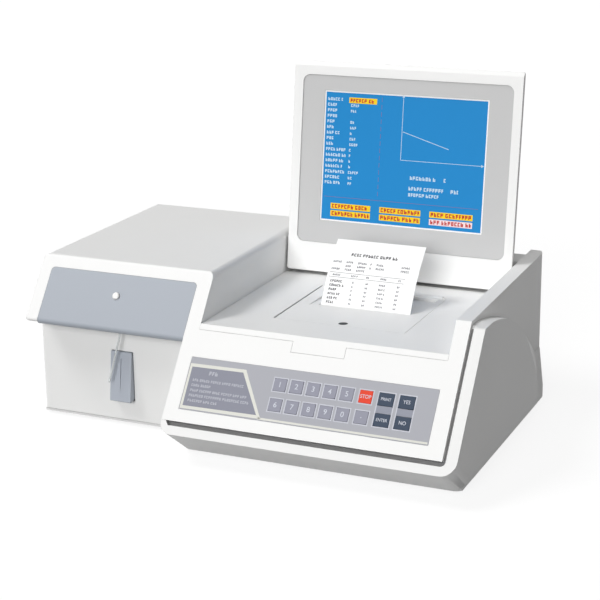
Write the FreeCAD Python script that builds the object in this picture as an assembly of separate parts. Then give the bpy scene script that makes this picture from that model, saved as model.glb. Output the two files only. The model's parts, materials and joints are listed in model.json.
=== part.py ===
import FreeCAD, Part
import math
import os

# Semi-automatic chemistry analyzer for a laboratory bench.
# Every length is in millimetres. The model is drawn with x from its left side, y from the
# foot of the sloping front towards the rear, and z up from the bench. On export it is moved
# so that the origin is the bottom centre of the whole housing.

Vector = FreeCAD.Vector

# Overall housing
slope_angle = 53.65
total_width = 557.0
head_width = 226.9
stripe_width = 17.1
cheek_width = 17.1
fender_reach = 16.6
rear_y = 424.5
wall = 3.0
fit = 0.3

# Heights above the bench
foot_height = 3.5
seam_height = 52.2
deck_height = 146.4
deck_seam = deck_height - 5.6
head_top = deck_height + 51.4
head_low = 126.6
cheek_top = deck_height + 38.6
cheek_knee = deck_height + 32.0
rear_deck_height = deck_height + 31.6

# Across: what the widths above leave for the console
cheek_right = total_width - fender_reach
console_right = cheek_right - cheek_width
stripe_left = head_width - stripe_width
console_middle = (head_width + console_right) / 2

# Rounding of the housing
top_round = 6.0
nose_edge = 3.0
leg_round = 5.0
side_round = 8.0
rear_round = 8.0
corner_round = 20.0

# Front lip, its groove and the fender on the right side
lip_low_u = 49.1
lip_top_u = 59.6
face_low_u = 65.2
lip_round_left = 14.0
lip_round_right = 18.0
groove_width = 4.0
groove_depth = 6.0
groove_left = stripe_left + 5.2
fender_top = deck_height + 26.6
fender_corner = 3.0
fender_flat = 25.0
fender_chamfer = 11.0
fender_back = rear_y - 32.5
fender_back_out = rear_y - 79.5
skirt_out = 8.6
skirt_low = 18.0
skirt_high = 66.0
skirt_corner = 30.0

# Sample bay under the head
bay_front = 126.0
bay_low = 7.5
bay_round = 6.0

# Head panel and its button
panel_side = 15.5
panel_top = head_top - 13.1
panel_depth = 2.0
panel_round = 5.0
nose_round = 5.0
nose_share = 0.2809
nose_rise = nose_share * (head_top - head_low)
nose_drop = 2.4
nose_back = 14.0
nose_gap = 4.3
lever_x = head_width / 2 - 1.45
button_x = lever_x - 1.5
button_share = 0.493
button_z = head_top - button_share * (head_top - head_low)
button_radius = 4.5
button_stem = 3.2
button_slack = 0.15
button_proud = 2.2
button_travel = 1.2

# Aspirate lever
lever_width = 27.5
lever_top = 93.0
lever_bottom = 32.5
lever_top_out = 3.0
lever_out = 10.5
lever_thick = 2.6
lever_gap = 0.6
lever_back = 9.0
lever_pin_radius = 2.0
lever_pin_depth = 6.0
lever_pin_drop = 4.5
lever_groove = 0.8
nub_radius = 2.6
nub_length = 6.0
spring_radius = 3.4
spring_length = 9.8
switch_plate = 2.0
switch_half = 12.0

# Sipper tube
tube_radius = 1.1
tube_start_x = lever_x + 2.8
tube_start_y = 117.0
nozzle_length = 6.2
nozzle_radius = 4.0
nozzle_stem = 3.0

# Keypad
pad_left = head_width + 0.3
pad_right = console_right - 1.6
pad_low_u = 80.0
pad_high_u = 141.8
pad_thick = 0.8
key_width = 14.8
key_height = 14.4
key_proud = 0.6
key_depth = 2.4
key_gap = 0.3
key_flange = 0.8
key_corner = 1.6
key_edge = 0.4
board_thick = 1.6
board_margin = 16.0
upper_row_u = 123.0
lower_row_u = 99.7
key_pitch = 19.8
blue_key_pitch = 23.6
blue_key_width = 17.6
blue_key_x = pad_right - 56.5
red_key_x = blue_key_x - 23.5
first_key_x = red_key_x - 101.0

# Display's place, hinged in front of the raised rear
rear_deck_y = rear_y - 43.5
hinge_y = rear_deck_y - 24.2
hinge_z = deck_height + 15.7

# Deck and the printer cover
deck_thick = 3.0
deck_back = rear_deck_y - 35.5
trough_height = deck_height - 3.8
ledge = 5.0
lip_seat_front = 3.0
lip_seat_back = 6.0
tab_left = console_middle - 31.6
tab_right = console_middle + 31.6
tab_low = deck_height - 15.9
cover_front_share = 0.2156
cover_rear_share = 0.1703
cover_left = console_middle - 78.7
cover_right = console_middle + 78.9
cover_gap_left = 2.6
cover_gap_right = 0.4
cover_gap_front = 0.4
cover_thick = 6.0
cover_hinge_z = deck_height - 2.2
barrel_radius = 3.0
barrel_left = console_middle - 63.1
barrel_right = console_middle + 73.9
cover_pin_radius = 1.5
cover_pin_length = 5.0
cover_back_gap = 4.5
slot_share = 0.4726
slot_gap = 5.0
slot_ahead = 1.5
dish_left = console_middle - 63.1
dish_right = console_middle + 70.9
dish_depth = 4.0
dish_lead = 10.0
finger_x = console_middle + 1.9
finger_back = 8.4
finger_radius = 5.5

# Paper
paper_width = 111.6
paper_x = console_middle + 3.8
paper_thick = 0.4
slip_back = 56.0
slip_bow_back = 22.0
slip_bow_rise = 31.0
slip_top_z = deck_height + 65.6
roll_radius = 22.0
roll_core = 6.0
roll_back = 34.0
roll_z = deck_height - 34.4

# Printer
bay_x0 = console_middle - 85.1
bay_x1 = console_middle + 84.9
bay_wall = 2.5
bay_ahead = 7.0
bay_behind = 12.0
guide_gap = 1.6
guide_half = 26.0
guide_rise = 12.0
platen_radius = 6.0
platen_ahead = 6.3
platen_z = deck_height - 15.4
platen_journal = 3.0
platen_slack = 0.06
knob_radius = 7.0
knob_length = 6.0
knob_tooth = 1.2
knob_teeth = 12
print_bar = 4.0
print_head_thick = 3.0

# Display
display_left = head_width + 2.5
display_width = console_right - head_width - 5.0
display_height = 259.6
display_lean = 7.6
display_rim = 6.0
display_back = 28.0
display_corner = 3.0
display_bevel = 5.5
bevel_depth = 3.4
hinge_in = 14.0
hinge_up = 12.8
hinge_radius = 4.0
shaft_end = 1.5
shaft_flat = 20.0
bezel_left = 12.0
bezel_right = display_width - 10.9
bezel_low = 36.5
bezel_high = display_height - 16.2
bezel_corner = 9.0
bezel_sunk = 1.0
bezel_thick = 2.8
window_left = 41.0
window_right = display_width - 40.4
window_low = 64.7
window_high = display_height - 34.8
glass_front = 2.2
glass_back = 3.6
panel_front = 4.2
panel_back = 11.0
panel_margin = 8.0
panel_tab = 12.0
shell_inset = 12.0
shell_round = 9.0
shell_wall = 2.5
throat_rim = 7.0
vent_count = 15
vent_pitch = 9.0
vent_width = 3.2
vent_length = 30.0
vent_below_top = 22.0

# Hinge brackets
arm_width = 8.0
arm_inset = 2.0
arm_half = 7.4
arm_plate = 3.0

# Optical bench and what stands on it
bench_left = 24.0
bench_right = stripe_left - 13.8
bench_front = bay_front + 60.0
bench_back = rear_y - 26.5
bench_top = 56.0
bench_thick = 4.0
bench_leg = 8.0
axis_x = stripe_left - 77.8
axis_z = 108.0
lamp_half = 24.0
lamp_rise = 26.0
lamp_length = 44.0
lamp_behind = 16.0
lamp_bore = 13.0
lamp_window = 6.0
bulb_radius = 5.0
fin_count = 8
fin_pitch = 9.0
fin_thick = 3.0
fin_depth = 10.0
wheel_offset = 38.0
wheel_radius = 48.0
wheel_thick = 6.0
wheel_behind = 74.0
wheel_hub = 8.0
wheel_hub_length = 6.0
filter_count = 8
filter_radius = 6.5
filter_hole = 5.0
motor_radius = 21.0
motor_length = 34.0
motor_shaft = 2.5
motor_plate = 3.0
cell_half = 16.0
cell_length = 30.0
cell_rise = 18.0
cell_ahead = 40.0
cell_bore = 4.5
cell_port = 4.0
cell_port_rise = 12.0
detector_half = 34.0
detector_rise = 30.0
detector_ahead = 20.0
sensor_radius = 9.0
sensor_length = 6.5

# Peristaltic pump
pump_x = stripe_left - 33.8
pump_z = 62.0
pump_front = bay_front + 16.0
pump_base = 26.0
pump_cup = 26.0
pump_cup_wall = 3.0
pump_cup_depth = 16.0
pump_post = 20.0
pump_motor_radius = 17.0
pump_motor_length = 24.0
pump_spindle = 3.0
pump_mouth = 12.0
rotor_radius = 19.0
rotor_plate = 2.0
roller_count = 3
roller_radius = 5.5
roller_ring = 14.0
rotor_hub = 7.0
rotor_length = 10.5

# Electronics on the tray floor
supply_right = cheek_right - 20.4
supply_width = 132.0
supply_depth = 162.0
supply_height = 44.0
supply_back = rear_y - 26.5
supply_rib = 8.0
supply_rib_pitch = 14.0
supply_rib_count = 9
main_left = head_width + 9.1
main_front = 150.0
main_back = rear_y - 16.5
main_gap = 16.0
post_height = 8.0
post_radius = 4.0
post_inset = 8.0

# Rear panel and what it carries
panel_x0 = 30.0
panel_x1 = cheek_right - 40.4
panel_z0 = seam_height + 9.8
panel_z1 = panel_z0 + 74.0
panel_rim = 4.0
panel_sheet = 1.2
plate_seam = 0.2
port_plate = 20.0
inlet_plate = 40.0
fan_share = 103.1 / 273.1
fan_x = head_width + fan_share * (panel_x1 - head_width)
fan_z = panel_z0 + 36.0
fan_size = 60.0
fan_depth = 18.0
fan_wall = 1.5
fan_hub = 11.0
fan_arm = 4.0
fan_blades = 7
blade_width = 12.0
blade_thick = 1.4
blade_pitch = 35.0
grille_rings = (8.0, 15.0, 22.0)
grille_half = 1.6
grille_bar = 1.5
louvre_count = 12
louvre_start = 30.0
louvre_pitch = 10.0
louvre_low = panel_z0 + 14.0
louvre_high = panel_z0 + 60.0
inlet_x = panel_x1 - 60.0
inlet_z = panel_z0 + 22.0
inlet_half_x = 13.5
inlet_half_z = 9.9
inlet_depth = 26.0
socket_depth = 17.0
socket_half = 12.0
blade_length = 8.5
flange_half = 16.0
flange_thick = 3.0
switch_x = inlet_x
switch_z = panel_z0 + 54.0
switch_half_x = 10.4
switch_half_z = 6.9
switch_depth = 16.0
rocker_half = 7.6
rocker_tall = 5.3
rocker_pin = 1.0
port_share = 43.1 / 273.1
port_x = head_width + port_share * (panel_x1 - head_width)
port_z = panel_z0 + 37.0
port_half_x = 10.0
port_half_z = 4.9
port_depth = 8.0
port_flange = 15.0

# Feet and screws
foot_radius = 11.0
foot_taper = 2.0
screw_radius = 3.5
screw_tall = 1.8
screw_cross = 0.8
screw_cross_long = 4.0

angle = math.radians(slope_angle)
along_y = math.cos(angle)
along_z = math.sin(angle)
head_low_u = head_low / along_z
pieces = {}


def slope_y(z):
    """Where the sloping front lies at height z."""
    return z * along_y / along_z


# Front to back on the deck, shared out over its length
deck_front = slope_y(deck_height)
deck_length = deck_back - deck_front
cover_front = deck_front + cover_front_share * deck_length
cover_hinge_y = deck_back - cover_rear_share * deck_length
slot_y = cover_front + slot_share * (cover_hinge_y - cover_front)
finger_y = cover_front + finger_back
slip_top_y = slot_y + slip_back
roll_y = slot_y + roll_back
platen_y = slot_y - platen_ahead
bay_y0 = cover_front - bay_ahead
bay_y1 = cover_hinge_y + bay_behind

def on_slope(x, u, depth=0.0):
    """A point u up the sloping front from its foot, and depth behind it."""
    return Vector(x, u * along_y + depth * along_z, u * along_z - depth * along_y)


def rounded_wire(points, place):
    """A closed outline. Each point is (a, b) or (a, b, radius of its corner)."""
    flat = [(Vector(p[0], p[1], 0), p[2] if len(p) > 2 else 0.0) for p in points]
    ends = []
    for i, (corner, radius) in enumerate(flat):
        before = (flat[i - 1][0] - corner).normalize()
        after = (flat[(i + 1) % len(flat)][0] - corner).normalize()
        if radius <= 0:
            ends.append((corner, None, corner))
            continue
        half = before.getAngle(after) / 2
        reach = radius / math.tan(half)
        middle = (before + after).normalize()
        centre = corner + middle * (radius / math.sin(half))
        ends.append((corner + before * reach, centre - middle * radius, corner + after * reach))
    edges = []
    for i, (start, bend, stop) in enumerate(ends):
        if bend is not None:
            edges.append(Part.Arc(place(start), place(bend), place(stop)).toShape())
        following = ends[(i + 1) % len(ends)][0]
        if (following - stop).Length > 1e-6:
            edges.append(Part.LineSegment(place(stop), place(following)).toShape())
    return Part.Wire(edges)


def across(points, x0, x1):
    """An outline in y and z, drawn out from x0 to x1."""
    wire = rounded_wire(points, lambda p: Vector(x0, p.x, p.y))
    return Part.Face(wire).extrude(Vector(x1 - x0, 0, 0))


def upright(points, z0, z1):
    """An outline in x and y, drawn up from z0 to z1."""
    wire = rounded_wire(points, lambda p: Vector(p.x, p.y, z0))
    return Part.Face(wire).extrude(Vector(0, 0, z1 - z0))


def through(points, y0, y1):
    """An outline in x and z, drawn back from y0 to y1."""
    wire = rounded_wire(points, lambda p: Vector(p.x, y0, p.y))
    return Part.Face(wire).extrude(Vector(0, y1 - y0, 0))


def into_slope(points, depth0, depth1):
    """An outline on the sloping front, in x and u, drawn in from depth0 to depth1."""
    wire = rounded_wire(points, lambda p: on_slope(p.x, p.y, depth0))
    return Part.Face(wire).extrude(on_slope(0, 0, depth1) - on_slope(0, 0, depth0))


def rectangle(a0, a1, b0, b1, radius=0.0):
    return [(a0, b0, radius), (a1, b0, radius), (a1, b1, radius), (a0, b1, radius)]


def block(x0, x1, y0, y1, z0, z1):
    return Part.makeBox(x1 - x0, y1 - y0, z1 - z0, Vector(x0, y0, z0))


def rod_x(x0, x1, y, z, radius):
    return Part.makeCylinder(radius, x1 - x0, Vector(x0, y, z), Vector(1, 0, 0))


def rod_y(x, y0, y1, z, radius):
    return Part.makeCylinder(radius, y1 - y0, Vector(x, y0, z), Vector(0, 1, 0))


def rod_z(x, y, z0, z1, radius):
    return Part.makeCylinder(radius, z1 - z0, Vector(x, y, z0))


def rod_slope(x, u, depth0, depth1, radius):
    start = on_slope(x, u, depth0)
    return Part.makeCylinder(radius, depth1 - depth0, start, on_slope(0, 0, 1) - on_slope(0, 0, 0))


def joined(shapes):
    first, rest = shapes[0], shapes[1:]
    return first.fuse(rest).removeSplitter() if rest else first


def soften(shape, radius, wanted):
    """Rounds the edges that wanted picks."""
    edges = [e for e in shape.Edges if wanted(e)]
    return shape.makeFillet(radius, edges)


def keep(name, shape):
    pieces[name] = shape


# Upper housing


def plan(inset):
    """The housing seen from above, with its large rear right corner."""
    left, right, back = inset, cheek_right - inset, rear_y - inset
    outline = [
        (left, -50),
        (right, -50),
        (right, back, corner_round - inset),
        (left, back, rear_round - inset),
    ]
    return upright(outline, -10, head_top + 10)


def head_form(inset, low):
    """The head as a solid, inset all round, down to the height low."""
    shift = inset / along_z
    high = head_top - inset
    profile = [
        (slope_y(low) + shift, low, nose_edge - inset / 2),
        (slope_y(high) + shift, high, top_round - inset / 2),
        (rear_y - inset, high, rear_round - inset),
        (rear_y - inset, low),
    ]
    front = rectangle(inset, head_width - inset, low - 40, high, side_round - inset / 2)
    return across(profile, inset, head_width - inset).common(through(front, -50, rear_y + 50))


def leg_corner():
    """What the rounded lower left corner of the head's front takes away, as far as the sample bay."""
    square = block(-1, leg_round, -50, bay_front, head_low - 1, head_low + leg_round)
    return square.cut(rod_y(leg_round, -50, bay_front + 1, head_low + leg_round, leg_round))


def console_form(inset, low):
    """The console below the deck as a solid, from the stripe to the right side."""
    shift = inset / along_z
    high = deck_seam - fit - inset if inset else deck_height - deck_thick - fit
    profile = [(slope_y(low) + shift, low), (slope_y(high) + shift, high)]
    profile += [(rear_y - inset, high), (rear_y - inset, low)]
    return across(profile, stripe_left + inset, cheek_right - inset)


def cheek_form(inset, low):
    """The raised cheek on the right, from its slope to the rear."""
    shift = inset / along_z
    knee = (slope_y(cheek_knee) + shift, cheek_knee - inset, 2.0)
    back = (rear_y - inset, cheek_top - inset, rear_round - inset)
    profile = [(slope_y(low) + shift, low), knee, back, (rear_y - inset, low)]
    return across(profile, console_right + inset, cheek_right - inset)


def stripe_form(inset, low):
    """The band that runs from the head down to the front lip."""
    shift = inset / along_z
    high = head_low + 20
    profile = [(slope_y(low) + shift, low), (slope_y(high) + shift, high)]
    profile += [(rear_y - inset, high), (rear_y - inset, low)]
    return across(profile, stripe_left + inset, head_width - inset)


def rear_deck_form(inset, low):
    """The raised part behind the display."""
    profile = [
        (rear_deck_y + inset, low),
        (rear_deck_y + inset, rear_deck_height - inset, 3.0),
        (rear_y - inset, rear_deck_height - inset, rear_round - inset),
        (rear_y - inset, low),
    ]
    return across(profile, head_width - 1 - inset, console_right + 1 + inset)


def make_upper_housing():
    low = face_low_u * along_z
    outer = joined(
        [
            head_form(0, head_low),
            stripe_form(0, low),
            console_form(0, low),
            cheek_form(0, low),
            rear_deck_form(0, deck_seam),
        ]
    ).common(plan(0))
    shelf = block(0, head_width, -20, bay_front + wall, -1, head_low + wall)
    inner = joined(
        [
            head_form(wall, head_low - 10).cut(shelf),
            stripe_form(wall, low - 10),
            console_form(wall, low - 10),
            cheek_form(wall, low - 10),
            rear_deck_form(wall, trough_height - 30),
        ]
    ).common(plan(wall))
    body = outer.cut([inner, leg_corner()])
    # the head reaches down behind the sample bay as a rear wall only
    left, right = wall + fit, stripe_left + wall
    rear_wall = block(left, right, rear_y - wall, rear_y, seam_height + fit, head_low + 1)
    trough_front = deck_back + fit
    trough = block(head_width, console_right, trough_front, rear_deck_y, trough_height, deck_height + 1)
    well = block(
        head_width - wall,
        console_right + wall,
        trough_front - wall,
        rear_deck_y + wall,
        trough_height - wall,
        deck_height - deck_thick - fit,
    )
    body = joined([body, rear_wall, well]).cut(trough)
    return body.cut(housing_openings())


def housing_openings():
    """Openings for the deck, its tab, the keypad, the head panel and the rear panel."""
    deck_hole = block(
        head_width + ledge,
        console_right - ledge,
        deck_front + lip_seat_back,
        deck_back + fit - wall - ledge,
        deck_height - 4 * wall,
        deck_height + 1,
    )
    seam = slope_y(deck_seam) + fit
    lip_profile = [
        (-10, deck_seam - fit),
        (seam + lip_seat_front, deck_seam - fit),
        (seam + lip_seat_back, deck_height - deck_thick - fit),
        (seam + lip_seat_back, deck_height + 1),
        (-10, deck_height + 1),
    ]
    lip_hole = across(lip_profile, head_width, console_right)
    tab_outline = rectangle(tab_left - fit, tab_right + fit, (tab_low - fit) / along_z, deck_height / along_z)
    tab_hole = into_slope(tab_outline, -1, wall / 2 + fit)
    pad_outline = rectangle(pad_left - fit, pad_right + fit, pad_low_u - fit, pad_high_u + fit)
    pad_seat = into_slope(pad_outline, -1, pad_thick)
    panel_outline = [
        (panel_side - fit, head_low_u - 30),
        (stripe_left - fit, head_low_u - 30),
        (stripe_left - fit, panel_top / along_z + fit, panel_round),
        (panel_side - fit, panel_top / along_z + fit, panel_round),
    ]
    panel_seat = into_slope(panel_outline, -1, panel_depth)
    rear_hole = block(panel_x0, panel_x1, rear_y - wall - 1, rear_y + 1, panel_z0, panel_z1)
    rim = panel_rim
    low, high = panel_z0 - rim, panel_z1 + rim
    rear_rim = block(panel_x0 - rim, panel_x1 + rim, rear_y - wall / 2, rear_y + 1, low, high)
    holes = [deck_hole, lip_hole, tab_hole, pad_seat, panel_seat, rear_hole, rear_rim, nose_form(fit)]
    for x, u, width in key_places():
        reach = width / 2 + key_flange + key_gap
        tall = key_height / 2 + key_flange + key_gap
        holes.append(into_slope(rectangle(x - reach, x + reach, u - tall, u + tall), -1, 4 * wall))
    button_hole = button_radius + 2.5
    holes.append(rod_slope(button_x, button_z / along_z, -1, 4 * wall, button_hole))
    arm_room = arm_half + 0.4
    for x in hinge_arm_places():
        low, high = hinge_z - arm_room, hinge_z + arm_room
        holes.append(block(x - fit, x + arm_width + fit, rear_deck_y - 1, rear_deck_y + wall + 2, low, high))
    return holes


# Lower tray with the front lip and the fender


def lip_outline(inset, high_u):
    left, right, low = stripe_left + inset, total_width - inset, lip_low_u + inset
    return [
        (left, low, lip_round_left - inset),
        (right, low, lip_round_right - inset),
        (right, high_u),
        (left, high_u),
    ]


def fender_side(x, low, middle, foot, inset):
    """One side of the fender: up the slope, round its top corner, level, then down to the rear."""
    top = fender_top - inset
    start_z = top - fender_corner
    shoulder = Vector(x, slope_y(start_z), start_z)
    level = Vector(x, slope_y(start_z) + 2 * fender_corner, top)
    bend = Vector(x, slope_y(start_z) + 0.8 * fender_corner, top - 0.25 * fender_corner)
    crest = Vector(x, slope_y(top) + fender_flat, top)
    start, base = Vector(x, -20, start_z), Vector(x, -20, low)
    below = Vector(x, foot.y, low)
    return Part.Wire(
        [
            Part.LineSegment(base, start).toShape(),
            Part.LineSegment(start, shoulder).toShape(),
            Part.Arc(shoulder, bend, level).toShape(),
            Part.LineSegment(level, crest).toShape(),
            Part.Arc(crest, middle, foot).toShape(),
            Part.LineSegment(foot, below).toShape(),
            Part.LineSegment(below, base).toShape(),
        ]
    )


def fender_form(inset):
    """The bulge on the right side, which thins out towards the rear."""
    base = foot_height + inset
    x0, x1 = cheek_right + fit, total_width - inset
    crest_y = slope_y(fender_top) + fender_flat
    inner_middle = Vector(x0, (crest_y + fender_back) / 2, fender_top - 34 - inset)
    inner_foot = Vector(x0, fender_back - inset, seam_height + 6 - inset)
    outer_middle = Vector(x1, (crest_y + fender_back_out) / 2 + 9, fender_top - 36 - inset)
    outer_foot = Vector(x1, fender_back_out - inset, 38 - inset)
    inner = fender_side(x0, base, inner_middle, inner_foot, inset)
    outer = fender_side(x1, base + fender_chamfer, outer_middle, outer_foot, inset)
    return Part.makeLoft([inner, outer], True, True)


def skirt_form(inset):
    """The lower rear of the tray, flared out on the right."""
    front = rear_y - 224.5

    def ring(z, out, radius):
        right, back = cheek_right + out - inset, rear_y - inset
        points = [(inset, front), (right, front), (right, back, radius), (inset, back, rear_round - inset)]
        return rounded_wire(points, lambda p: Vector(p.x, p.y, z))

    foot = Part.Face(ring(foot_height, skirt_out, skirt_corner))
    low = foot.extrude(Vector(0, 0, skirt_low - foot_height))
    rings = [ring(skirt_low, skirt_out, skirt_corner), ring(skirt_high, fit, corner_round)]
    return joined([low, Part.makeLoft(rings, True, True)])


def make_lower_tray():
    floor = foot_height + wall
    middle = rear_y - 184.5
    under = block(-1, total_width + 1, -50, rear_y + 1, -40, foot_height)
    room = block(-1, cheek_right + skirt_out, -50, middle - 10, foot_height, seam_height)
    front = into_slope(lip_outline(0, 300), 0, 400).common(room)
    floor_left = block(0, stripe_left + 1, bay_front + wall / 2, middle + 20, foot_height, floor)
    inside = block(-1, cheek_right + fit, middle - 50, rear_y + 1, seam_height, skirt_high + 1)
    fender = fender_form(0).common(into_slope(lip_outline(0, 320), 0, 500))
    outer = joined([front, skirt_form(0).cut(inside), floor_left]).cut(under)
    hollow_front = into_slope(lip_outline(wall, 320), groove_depth + wall, 420).common(
        block(stripe_left + wall, cheek_right - 1, -50, middle, floor, 200)
    )
    right, back = cheek_right - wall, rear_y - wall
    hollow_outline = [
        (wall, bay_front + 4),
        (right, bay_front + 4),
        (right, back, corner_round - wall),
        (wall, back, rear_round - wall),
    ]
    hollow_rear = upright(hollow_outline, floor, skirt_high + 1)
    left_open = block(-1, wall + fit, 0, rear_y + 1, floor, skirt_high)
    left_front = block(-1, stripe_left - 0.1, 0, middle + 40, floor, skirt_high)
    body = outer.cut([hollow_front, hollow_rear, left_open, left_front])
    pocket = fender_form(wall).common(into_slope(lip_outline(wall, 320), groove_depth + wall, 500))
    pocket = pocket.cut(block(cheek_right, total_width, -50, rear_y + 50, -1, seam_height))
    body = joined([body, fender.cut([pocket, under])])
    return body.cut(lip_cuts())


def lip_cuts():
    """The groove between the lip and the console, and the room behind it for the housing."""
    far_u = 340
    face = into_slope(
        [
            (groove_left, face_low_u + fit),
            (groove_left + groove_width, lip_top_u),
            (cheek_right + groove_width, lip_top_u, 6.0),
            (cheek_right + groove_width, far_u),
            (groove_left, far_u),
        ],
        -5,
        groove_depth,
    )
    stripe_seat = into_slope(rectangle(stripe_left - 5, groove_left + 1, face_low_u, far_u), -5, groove_depth)
    housing_seat = into_slope(rectangle(stripe_left - 5, cheek_right + fit, face_low_u + 6, far_u), 0, 500)
    housing_seat = housing_seat.common(block(0, total_width, -50, 600, seam_height, 400))
    return [face, stripe_seat, housing_seat]


# Sample bay, head panel, lever and button


def make_sample_bay():
    """The cover of the sample bay: its front wall, and its left wall to the rear."""
    high = head_low - fit
    right = stripe_left - fit
    outline = [(0, bay_front, bay_round), (right, bay_front), (right, rear_y), (0, rear_y, rear_round)]
    shell = upright(outline, bay_low, high)
    hollow_outline = [
        (wall, bay_front + wall, bay_round - wall),
        (stripe_left + 5, bay_front + wall),
        (stripe_left + 5, rear_y + 5),
        (wall, rear_y + 5),
    ]
    hollow = upright(hollow_outline, bay_low - 1, high + 1)
    half = lever_width / 2 + lever_gap
    low, top = lever_bottom - lever_gap, lever_top + lever_gap
    window = block(lever_x - half, lever_x + half, bay_front - 1, bay_front + wall + 1, low, top)
    ears = []
    for x0, x1 in ((lever_x - half - 4, lever_x - half), (lever_x + half, lever_x + half + 4)):
        y0, y1 = bay_front + wall, bay_front + wall + lever_back
        ears.append(block(x0, x1, y0, y1, lever_pin_z() - 5, lever_pin_z() + 4))
    reach = lever_width
    bore = rod_x(lever_x - reach, lever_x + reach, lever_pin_y(), lever_pin_z(), lever_pin_radius + 0.06)
    return joined([shell.cut(hollow), *ears]).cut([window, bore])


def lever_pin_y():
    return bay_front + lever_pin_depth


def lever_pin_z():
    return lever_top - lever_pin_drop


def nose_form(gap):
    """The nose of the head panel, or with a gap the opening that the housing has for it."""
    low, high = head_low - nose_drop, head_low + nose_rise
    ahead = 20 if gap else 0
    front = (slope_y(low) - ahead, low - 5) if gap else (slope_y(low), low, nose_round)
    back = bay_front - nose_gap + gap
    profile = [
        front,
        (slope_y(high) - ahead, high + gap),
        (slope_y(high) + panel_depth + gap, high + gap),
        (slope_y(head_low) + nose_back + gap, head_low + wall + gap),
        (back, head_low + wall + gap),
        (back, front[1]),
    ]
    return across(profile, panel_side - gap, stripe_left - 2 * fit + gap)


def make_head_panel():
    """The blue-grey front of the head, with its rounded nose below."""
    left, right = panel_side, stripe_left - 2 * fit
    low_u, high_u = (head_low + nose_rise - 2) / along_z, panel_top / along_z
    outline = [(left, low_u), (right, low_u), (right, high_u, panel_round), (left, high_u, panel_round)]
    face = into_slope(outline, 0, panel_depth - 0.05)
    u = button_z / along_z
    hole = rod_slope(button_x, u, -1, panel_depth + 1, button_stem + button_slack)
    dish = rod_slope(button_x, u, -1, button_travel + button_slack, button_radius + fit)
    seat_radius = nozzle_stem + 0.05
    exit_hole = rod_z(tube_start_x, tube_start_y, head_low - 5, head_low + 12, seat_radius)
    return joined([face, nose_form(0)]).cut([hole, dish, exit_hole])


def make_wash_button():
    """The white domed button on the head panel, with a collar behind the panel."""
    u = button_z / along_z
    crown = on_slope(button_x, u, -button_proud)
    cap = rod_slope(button_x, u, -button_proud, 0.2, button_radius)
    cap = soften(cap, 1.9, lambda e: e.BoundBox.Center.distanceToPoint(crown) < 0.1)
    stem = rod_slope(button_x, u, 0, 9, button_stem)
    collar = rod_slope(button_x, u, panel_depth + fit, panel_depth + 1.5, button_radius + 1.2)
    return joined([cap.translated(on_slope(0, 0, -0.2)), stem, collar])


def make_lever():
    """The aspirate lever: a wedge-shaped shell that hangs on two pins at its top."""
    x0, x1 = lever_x - lever_width / 2, lever_x + lever_width / 2
    top, low, front = lever_top, lever_bottom, bay_front
    shell = [
        (front - lever_top_out, top, 1.2),
        (front - lever_out, low, 1.2),
        (front + lever_back - 5, low + 3.2),
        (front + lever_back, lever_pin_z() - 4),
        (front + lever_back, top),
    ]
    room = [
        (front + 1.6, top - lever_back),
        (front - lever_out + 3.6, low + lever_thick),
        (front + 12, low + lever_thick + 3.2),
        (front + 12, top - lever_back),
    ]
    outer = across(shell, x0, x1)
    inner = across(room, x0 + lever_thick, x1 - lever_thick)
    groove_profile = [
        (front - lever_top_out - 1, top - 8),
        (front - lever_top_out + lever_groove * 1.8, top - 8),
        (front - lever_out + lever_groove, low + 8),
        (front - lever_out - 1, low + 8),
    ]
    groove = across(groove_profile, lever_x - lever_groove / 2, lever_x + lever_groove / 2)
    pins = rod_x(x0 - 3.6, x1 + 3.6, lever_pin_y(), lever_pin_z(), lever_pin_radius)
    nub = rod_y(lever_x, front - lever_top_out, front + nub_length, lever_nub_z(), nub_radius)
    return joined([outer.cut([inner, groove]), nub, pins])


def lever_nub_z():
    return (lever_top + lever_bottom) / 2 - 6


def make_lever_spring():
    """A close coil spring between the lever's nub and the switch bracket, drawn as a sleeve."""
    y0 = bay_front + nub_length + 0.1
    sleeve = rod_y(lever_x, y0, y0 + spring_length, lever_nub_z(), spring_radius)
    return sleeve.cut(rod_y(lever_x, y0 - 1, y0 + 2 * spring_length, lever_nub_z(), spring_radius - 0.9))


def make_lever_switch():
    """The small switch behind the lever, on a bracket that stands on the tray floor."""
    y0 = bay_front + nub_length + spring_length + 0.2
    floor, thick, half = foot_height + wall, switch_plate, switch_half
    x0, x1 = lever_x - half, lever_x + half
    foot = block(x0, x1, y0, y0 + 22, floor, floor + thick)
    plate = block(x0, x1, y0, y0 + thick, floor, lever_nub_z() + 8)
    body = block(x0 + 2, x1 - 2, y0 + thick, y0 + thick + 7, lever_bottom + 2, lever_bottom + 13)
    return joined([foot, plate, body])


def tube_points():
    """The sipper tube's route, from its nozzle under the head down past the lever."""
    x, y, z = tube_start_x, tube_start_y, head_low - nozzle_length
    return [
        Vector(x, y, z),
        Vector(x, y, z - 6),
        Vector(x - 4.0, y - 1.9, z - 20.5),
        Vector(x - 8.6, y - 4.6, z - 42),
        Vector(x - 13.0, y - 7.2, z - 62),
    ]


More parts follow.
